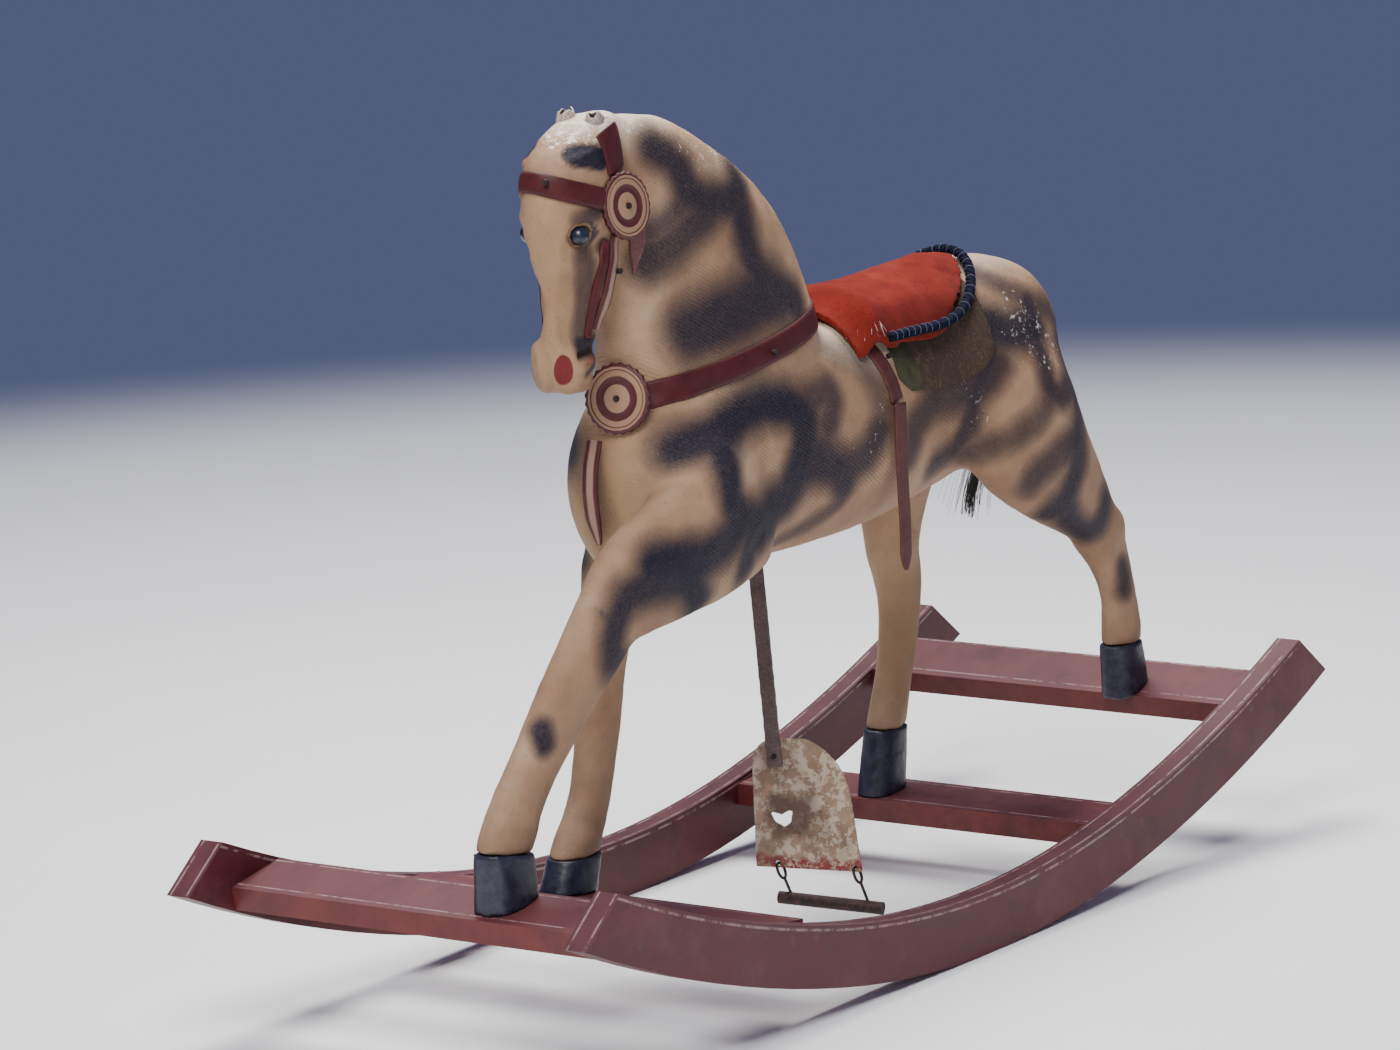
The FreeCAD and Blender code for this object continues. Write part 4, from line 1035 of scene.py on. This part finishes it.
def fringe(tree):
    """Loose threads along the torn front edges of the saddle."""
    draw = random.Random(11)
    for name, colour_name, count in (("saddle_fringe_red", "red", 150), ("saddle_fringe_white", "white", 26)):
        vertices, faces = [], []
        for _ in range(count):
            side = draw.choice((LEFT, RIGHT)) if colour_name == "red" else LEFT
            along = draw.random()
            start = from_horse(30 + 34 * along, side * (50 + 13 * along + draw.uniform(-4, 1)), 500)
            near = tree.find_nearest(start)[0]
            root = near + Vector((0.002, -side * 0.001, 0.0))
            length = draw.uniform(5, 13) * MM
            lean = Vector((draw.uniform(-0.7, 0.2), side * draw.uniform(0.05, 0.5), draw.uniform(-1.2, -0.5)))
            bend = Vector((draw.uniform(-1, 1), draw.uniform(-1, 1), -0.6)) * length * 0.3
            route = [root + lean.normalized() * length * t + bend * t * t for t in (0, 0.3, 0.6, 1)]
            tube(vertices, faces, route, 0.32 * MM, 4, 0.5)
        threads = new_object(name, vertices, faces)
        cover(threads, THREADS[colour_name])
        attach(threads, "horse")


def thread_material(name, base, light):
    shade = Shade(name, 0.95)
    shade.colour(shade.ramp(shade.noise(800, 2), (0.3, base), (0.7, light)))
    return shade.material


THREADS = {
    "red": thread_material("red_thread", (0.36, 0.05, 0.03), (0.55, 0.14, 0.07)),
    "blue": thread_material("blue_thread", (0.05, 0.055, 0.10), (0.16, 0.17, 0.25)),
    "white": thread_material("white_thread", (0.42, 0.38, 0.34), (0.68, 0.63, 0.58)),
}


def rope_round(tree):
    """The three-strand cord round the saddle's edge."""
    cad = np.array([v.co for v in NODES["saddle_piping"].data.vertices])
    plan = []
    for step in range(26):
        plan.append((60 + 61 * step / 25, -66.5))
    for step in range(1, 90):
        turn = math.pi * step / 90
        plan.append((121 + 124.5 * math.sin(turn), -66.5 * math.cos(turn)))
    for step in range(26):
        plan.append((121 - 61 * step / 25, 66.5))
    middles = []
    for x, y in plan:
        place = np.array([x * MM, (y + PLANE_Y) * MM])
        close = cad[np.linalg.norm(cad[:, :2] - place, axis=1) < 0.0095]
        middles.append((close[:, 2].min() + close[:, 2].max()) / 2)
    for _ in range(12):
        middles = [middles[0]] + [(a + 2 * b + c) / 4 for a, b, c in zip(middles, middles[1:], middles[2:])] + [
            middles[-1]]
    route = [Vector((x * MM, (y + PLANE_Y) * MM, z)) for (x, y), z in zip(plan, middles)]
    fine = []
    for a, b in zip(route, route[1:]):
        fine += [a.lerp(b, part / 4) for part in range(4)]
    fine.append(route[-1])
    vertices, faces = [], []
    for strand in range(3):
        travel = 0.0
        line = []
        for index, middle in enumerate(fine):
            ahead = (fine[min(index + 1, len(fine) - 1)] - fine[max(index - 1, 0)]).normalized()
            if index:
                travel += (middle - fine[index - 1]).length
            angle = 2 * math.pi * (travel / 0.017 + strand / 3)
            side = ahead.cross(Vector((0, 0, 1))).normalized()
            up = side.cross(ahead)
            line.append(middle + (side * math.cos(angle) + up * math.sin(angle)) * 2.1 * MM)
        tube(vertices, faces, line, 2.3 * MM, 8)
    cord = new_object("saddle_rope", vertices, faces)
    cover(cord, rope())
    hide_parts("saddle_piping")
    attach(cord, "horse")
    stitches(fine)


def stitches(route):
    """Pale stitches over the rope."""
    draw = random.Random(5)
    vertices, faces = [], []
    for index in range(6, len(route) - 6, 14):
        middle = route[index]
        ahead = (route[index + 1] - route[index - 1]).normalized()
        side = ahead.cross(Vector((0, 0, 1))).normalized()
        up = side.cross(ahead)
        slip = ahead * draw.uniform(-1.5, 1.5) * MM
        loop = []
        for step in range(9):
            angle = math.radians(-30 + 30 * step)
            loop.append(middle + slip * step / 8 + (side * math.cos(angle) + up * math.sin(angle)) * 4.4 * MM)
        tube(vertices, faces, loop, 0.28 * MM, 5)
    thread = new_object("rope_stitches", vertices, faces)
    cover(thread, THREADS["blue"])
    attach(thread, "horse")


CLOTH_EDGE = [(77, 446), (92, 434), (120, 431), (160, 430), (190, 434), (213, 444)]
CLOTH_MIDDLE_Z = 420


def build_cloth():
    """The saddle cloth, laid over the barrel and following it."""
    rows, columns = 60, 120
    vertices, faces = [], []
    for row in range(rows + 1):
        x = 77 + 136 * row / rows
        low = float(np.interp(x, *zip(*CLOTH_EDGE)))
        reach = math.acos((low - CLOTH_MIDDLE_Z) / 66)
        for column in range(columns + 1):
            turn = reach * (2 * column / columns - 1)
            out = Vector((0, math.sin(turn), math.cos(turn)))
            start = from_horse(x, 0, CLOTH_MIDDLE_Z)
            hit = SKIN_TREE.ray_cast(start, out)[0]
            ripple = 0.45 * noise.noise(Vector((x / 14, turn * 5, 3))) + 0.25 * noise.noise(Vector((x / 4, turn * 14, 7)))
            vertices.append(hit + out * (1.3 + ripple) * MM)
    across = columns + 1
    for row in range(rows):
        for column in range(columns):
            a = row * across + column
            faces.append((a, a + 1, a + across + 1, a + across))
    cloth = new_object("saddle_cloth_sheet", vertices, faces)
    thick = cloth.modifiers.new("thick", "SOLIDIFY")
    thick.thickness = 1.3 * MM
    thick.offset = 0
    cover(cloth, brocade())
    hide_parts("saddle_cloth")
    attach(cloth, "horse")


# ---------------------------------------------------------------- hanging straps
def hung_strip(name, line, across, wide, thick, material, body, tip=0.0, waver=0.0):
    """A flat strap through points in metres, its width along across, with an optional pointed tip."""
    out_rows, values = [], []
    steps, columns = 48, 9
    spans = [0.0]
    for a, b in zip(line, line[1:]):
        spans.append(spans[-1] + (b - a).length)
    rows = []
    for step in range(steps + 1):
        travel = spans[-1] * step / steps
        index = max(i for i in range(len(line) - 1) if spans[i] <= travel + 1e-9)
        rows.append(line[index].lerp(line[index + 1], min(1, (travel - spans[index]) / (spans[index + 1] - spans[index]))))
    for _ in range(8):
        rows = [rows[0]] + [(a + b * 2 + c) / 4 for a, b, c in zip(rows, rows[1:], rows[2:])] + [rows[-1]]
    across = across.normalized()
    for index, middle in enumerate(rows):
        ahead = (rows[min(index + 1, steps)] - rows[max(index - 1, 0)]).normalized()
        out = ahead.cross(across).normalized()
        left = spans[-1] * (1 - index / steps)
        share = 1.0 if tip <= 0 else min(1.0, 0.25 + 0.75 * (left / tip) ** 0.7)
        bow = waver * math.sin(index * 0.31) * MM * index / steps
        for layer in (1, -1):
            for column in range(columns):
                side = 2 * column / (columns - 1) - 1
                curl = -0.5 * side * side * MM
                level = layer * thick / 2 * (1 - 0.45 * side ** 6) + curl + bow
                out_rows.append(middle + across * side * wide / 2 * share + out * level)
                values.append(side)
    faces = []
    ring = 2 * columns
    for index in range(steps):
        a = index * ring
        loop = list(range(columns)) + list(range(ring - 1, columns - 1, -1))
        for first, second in zip(loop, loop[1:] + loop[:1]):
            faces.append((a + first, a + second, a + ring + second, a + ring + first))
    end = steps * ring
    for column in range(columns - 1):
        faces.append((column, columns + column, columns + column + 1, column + 1))
        faces.append((end + column + 1, end + columns + column + 1, end + columns + column, end + column))
    strip = new_object(name, out_rows, faces)
    write_attribute(strip.data, "side", values)
    bevel_normals(strip)
    cover(strip, material)
    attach(strip, body)
    return strip


def build_hanging():
    top, low = (Vector(corner) for corner in reversed(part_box("near_strap_end")))
    middle_x, middle_y = (top.x + low.x) / 2, (top.y + low.y) / 2
    line = [Vector((middle_x, middle_y, top.z - 0.001)), Vector((middle_x - 0.001, middle_y, 0.38)),
            Vector((middle_x + 0.001, middle_y, 0.33)), Vector((middle_x, middle_y, low.z))]
    strap = hung_strip("near_strap_tail", line, Vector((1, 0, 0)), 0.0155, 0.0024, BROWN_LEATHER,
                       "near_strap", tip=0.012)
    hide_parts("near_strap_end")
    y = -0.009
    line = [Vector((-0.2455, y, 0.444)), Vector((-0.2525, y, 0.424)), Vector((-0.2548, y, 0.404)),
            Vector((-0.2525, y, 0.384)), Vector((-0.2455, y, 0.362))]
    tongue = hung_strip("breast_tongue_strap", line, Vector((0, 1, 0)), 0.014, 0.0024, STRIPED,
                        "chest_tongue", tip=0.022)
    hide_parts("breast_tongue")


def worn_copy(name, node, voxel, rounds, material, body, rough=0.3, size=8.0, modifiers=()):
    """A CAD solid's shape with worn edges and an uneven surface, in its place."""
    piece = remeshed(joined_nodes(name, [node]), voxel, rounds)
    points = read_points(piece.data)
    normals = read_points(piece.data, "normal")
    push = rough * wobble(points / MM, size, 4.0) + rough * 0.5 * wobble(points / MM, size / 3, 9.0)
    write_points(piece.data, points + normals * push[:, None] * MM)
    cover(piece, material)
    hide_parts(node)
    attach(piece, body)
    return piece


def build_stirrup():
    strap = leather("strap_leather", (0.085, 0.06, 0.055), (0.17, 0.125, 0.115))
    worn_copy("stirrup_leather", "stirrup_strap", 0.0008, 2, strap, "stirrup", 0.2, 6.0)
    worn_copy("stirrup_board", "stirrup_plate", 0.0009, 2, plate_paint(), "stirrup", 0.22, 6.0)
    iron = metal("iron", (0.030, 0.026, 0.028), (0.11, 0.055, 0.04))
    for node in ("stirrup_staple", "stirrup_rivet", "stirrup_tread", "stirrup_link_far", "stirrup_link_near",
                 "harness_nails", "hoof_screws", "bridle_rosette_left_nail", "bridle_rosette_right_nail",
                 "breast_rosette_nail"):
        cover(NODES[node], iron)


# ---------------------------------------------------------------- head details, hooves and tail
def build_ears():
    """Broken ear stumps: ragged leather cups with dark hollows."""
    draw = random.Random(3)
    paint = leather("ear_leather", (0.30, 0.22, 0.18), (0.58, 0.49, 0.42))
    hollow = leather("ear_hollow", (0.018, 0.012, 0.012), (0.05, 0.03, 0.028))
    for side, word in ((LEFT, "left"), (RIGHT, "right")):
        low, high = (Vector(corner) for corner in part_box(f"ear_stump_{word}"))
        middle = Vector(((low.x + high.x) / 2, (low.y + high.y) / 2, low.z - 0.003))
        turns = 40
        tall = [draw.uniform(7, 13.5) for _ in range(10)]
        vertices, faces = [], []
        profile = [(8.6, 0.0), (8.2, 0.45), (7.0, 0.85), (6.2, 1.0), (5.0, 0.97), (4.2, 0.7), (3.2, 0.25), (0.8, 0.2)]
        for reach, level in profile:
            for turn in range(turns):
                angle = 2 * math.pi * turn / turns
                place = angle / (2 * math.pi) * 10
                first, part = int(place) % 10, place % 1
                height = tall[first] * (1 - part) + tall[(first + 1) % 10] * part
                vertices.append(middle + Vector((math.cos(angle) * reach * 1.15, math.sin(angle) * reach * 0.85,
                                                 height * level)) * MM)
        for ring in range(len(profile) - 1):
            for turn in range(turns):
                a = ring * turns + turn
                b = ring * turns + (turn + 1) % turns
                faces.append((a, b, b + turns, a + turns))
        faces.append(tuple(range((len(profile) - 1) * turns, len(profile) * turns)))
        faces.append(tuple(range(turns - 1, -1, -1)))
        ear = new_object(f"broken_ear_{word}", vertices, faces)
        ear.data.materials.append(paint)
        ear.data.materials.append(hollow)
        for index, polygon in enumerate(ear.data.polygons):
            polygon.material_index = 1 if index // turns >= 4 and index < len(ear.data.polygons) - 1 else 0
        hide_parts(f"ear_stump_{word}")
        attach(ear, "horse")


def build_eyes():
    """Glass eyes in their CAD places, each with a lower lid."""
    glass = eye_glass()
    lid_paint = leather("lid_paint", (0.10, 0.055, 0.030), (0.22, 0.13, 0.065))
    for side, word in ((LEFT, "left"), (RIGHT, "right")):
        node = NODES[f"eye_{word}"]
        cover(node, glass)
        low, high = (Vector(corner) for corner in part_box(f"eye_{word}"))
        middle = (low + high) / 2
        out = Vector((-0.5, side * 0.866, 0)).normalized()
        ahead = Vector((0, 0, 1)).cross(out).normalized()
        for part, start, end, thick, tall in (("lower", 180, 360, 1.1, 5.6), ("upper", 0, 180, 1.5, 6.2)):
            route = []
            for step in range(17):
                angle = math.radians(start + (end - start) * step / 16)
                place = ahead * math.cos(angle) * 9.4 + Vector((0, 0, 1)) * math.sin(angle) * tall
                target = middle + (place + out * 7) * MM
                near = SKIN_TREE.find_nearest(target)[0]
                route.append(near - out * 0.2 * MM)
            vertices, faces = [], []
            tube(vertices, faces, route, thick * MM, 8)
            lid = new_object(f"eyelid_{part}_{word}", vertices, faces)
            cover(lid, lid_paint)
            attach(lid, "horse")


def build_hooves():
    paint = hoof_paint()
    for leg in ("front_left", "front_right", "hind_left", "hind_right"):
        worn_copy(f"hoof_{leg}_carved", f"hoof_{leg}", 0.0018, 4, paint, "horse", 0.5, 10.0)


TAIL_ROUTE = [(380, 3, 440), (381, 12, 420), (380, 34, 380), (380, 58, 335), (380, 72, 290), (380, 76, 268)]


def build_tail():
    """A thin dark lock of hair that falls to the far side, with loose wisps."""
    draw = random.Random(7)
    middle = [from_horse(*p) for p in TAIL_ROUTE]
    root = from_horse(370, 0, 437)
    vertices, faces = [], []
    for count in range(300):
        loose = count % 6 == 0
        spread = abs(draw.gauss(0, 1)) * (3.0 if loose else 1.0)
        angle = draw.uniform(0, 2 * math.pi)
        along, aside = math.cos(angle) * spread, math.sin(angle) * spread
        reach = draw.uniform(0.45, 1.0)
        phase, curl = draw.uniform(0, 6.3), draw.uniform(0.4, 2.2)
        route = []
        for step in range(17):
            part = reach * step / 16
            place = part * (len(middle) - 1)
            index = min(int(place), len(middle) - 2)
            point = middle[index].lerp(middle[index + 1], place - index)
            fan = (1.6 + 5.2 * part) * MM
            wave = math.sin(phase + part * 11) * curl * part * MM
            point = point + Vector((along * fan + wave, aside * fan - wave * 0.5, 0))
            route.append(root.lerp(point, min(1, step / 3)))
        tube(vertices, faces, route, (0.28 if loose else 0.42) * MM, 4, 0.5)
    lock = new_object("tail_lock", vertices, faces)
    cover(lock, hair())
    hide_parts("tail_hair")
    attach(lock, "tail")
    cover(NODES["tail_plug"], plain_wood("tail_root", (0.03, 0.02, 0.02), (0.07, 0.045, 0.035)))


# ---------------------------------------------------------------- rockers
def build_rockers():
    paint = maroon_paint("rocker_paint", (0.055, 0.007, 0.012), (0.10, 0.016, 0.020), rocker_stripes)
    wood = plain_wood("peg_wood", (0.045, 0.008, 0.012), (0.095, 0.022, 0.024))
    for node in ("rocker_left", "rocker_right"):
        cover(NODES[node], paint)
    cover(NODES["slat_pegs"], wood)
    for node in ("slat_front", "slat_mid_front", "slat_mid_rear", "slat_rear"):
        low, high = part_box(node)
        paint = maroon_paint(f"{node}_paint", (0.10, 0.016, 0.018), (0.17, 0.036, 0.030),
                             slat_stripes((low[0] + high[0]) / 2))
        cover(NODES[node], paint)
    for node in ("rocker_left", "rocker_right", "slat_front", "slat_mid_front", "slat_mid_rear", "slat_rear"):
        edge = NODES[node].modifiers.new("edge", "BEVEL")
        edge.width = 0.0012
        edge.segments = 2
        edge.limit_method = "ANGLE"


build_saddle()
build_cloth()
build_hanging()
build_stirrup()
build_ears()
build_eyes()
build_hooves()
build_tail()
build_rockers()


# ---------------------------------------------------------------- stage, lights and camera
FLOOR_SOFT_FROM = 2.45
FLOOR_RADIUS = 3.25


def build_stage():
    bpy.ops.mesh.primitive_circle_add(vertices=128, radius=FLOOR_RADIUS, fill_type="NGON")
    floor = bpy.context.object
    floor.name = "floor"
    floor.location.z = -0.0002
    shade = Shade("floor_paint", 0.75)
    x, y, z = shade.split(shade.place)
    reach = shade.math("SQRT", shade.math("ADD", shade.math("POWER", x, 2), shade.math("POWER", y, 2)))
    shade.colour(shade.ramp(shade.noise(2.5, 3), (0.3, (0.92, 0.925, 0.935)), (0.7, (0.95, 0.955, 0.96))))
    clear = shade.node("ShaderNodeBsdfTransparent")
    blend = shade.node("ShaderNodeMixShader")
    shade.link(shade.step(reach, FLOOR_SOFT_FROM, FLOOR_RADIUS), blend.inputs[0])
    shade.tree.links.new(shade.shader.outputs[0], blend.inputs[1])
    shade.tree.links.new(clear.outputs[0], blend.inputs[2])
    shade.tree.links.new(blend.outputs[0], shade.tree.nodes["Material Output"].inputs["Surface"])
    cover(floor, shade.material)


def area_light(name, place, aim, size, power, colour):
    lamp = bpy.data.lights.new(name, "AREA")
    lamp.size = size
    lamp.energy = power
    lamp.color = colour
    holder = bpy.data.objects.new(name, lamp)
    holder.location = place
    holder.rotation_euler = (Vector(aim) - Vector(place)).to_track_quat("-Z", "Y").to_euler()
    bpy.context.scene.collection.objects.link(holder)


def build_lights():
    world = bpy.data.worlds.new("studio")
    world.use_nodes = True
    world.node_tree.nodes["Background"].inputs["Color"].default_value = (0.088, 0.105, 0.205, 1)
    world.node_tree.nodes["Background"].inputs["Strength"].default_value = 1.0
    bpy.context.scene.world = world
    area_light("overhead", (0.7, 0.5, 2.5), (0, 0, 0.2), 1.3, 105, (1.0, 0.98, 0.95))
    area_light("near_floor", (-1.9, -0.9, 2.5), (-0.9, -0.9, 0), 1.3, 90, (1.0, 0.99, 0.98))
    area_light("front_fill", (-3.0, -2.4, 1.4), (0, 0, 0.4), 1.8, 10, (1.0, 0.98, 0.96))


CAMERA_PLACE = (-4.0257, -2.8390, 1.2479)
CAMERA_TURN = Vector((1.5847, -0.8540, 0.6520))


def build_camera():
    """The camera at the photograph's viewing angle, rolled a little."""
    lens = bpy.data.cameras.new("camera")
    lens.lens = 159.0
    lens.sensor_width = 36.0
    lens.clip_end = 60
    camera = bpy.data.objects.new("camera", lens)
    turn = Matrix.Rotation(CAMERA_TURN.length, 3, CAMERA_TURN.normalized())
    right, down, forward = turn[0], turn[1], turn[2]
    axes = Matrix((right, -down, -forward)).transposed()
    camera.matrix_world = Matrix.Translation(CAMERA_PLACE) @ axes.to_4x4()
    bpy.context.scene.collection.objects.link(camera)
    bpy.context.scene.camera = camera


build_stage()
build_lights()
build_camera()
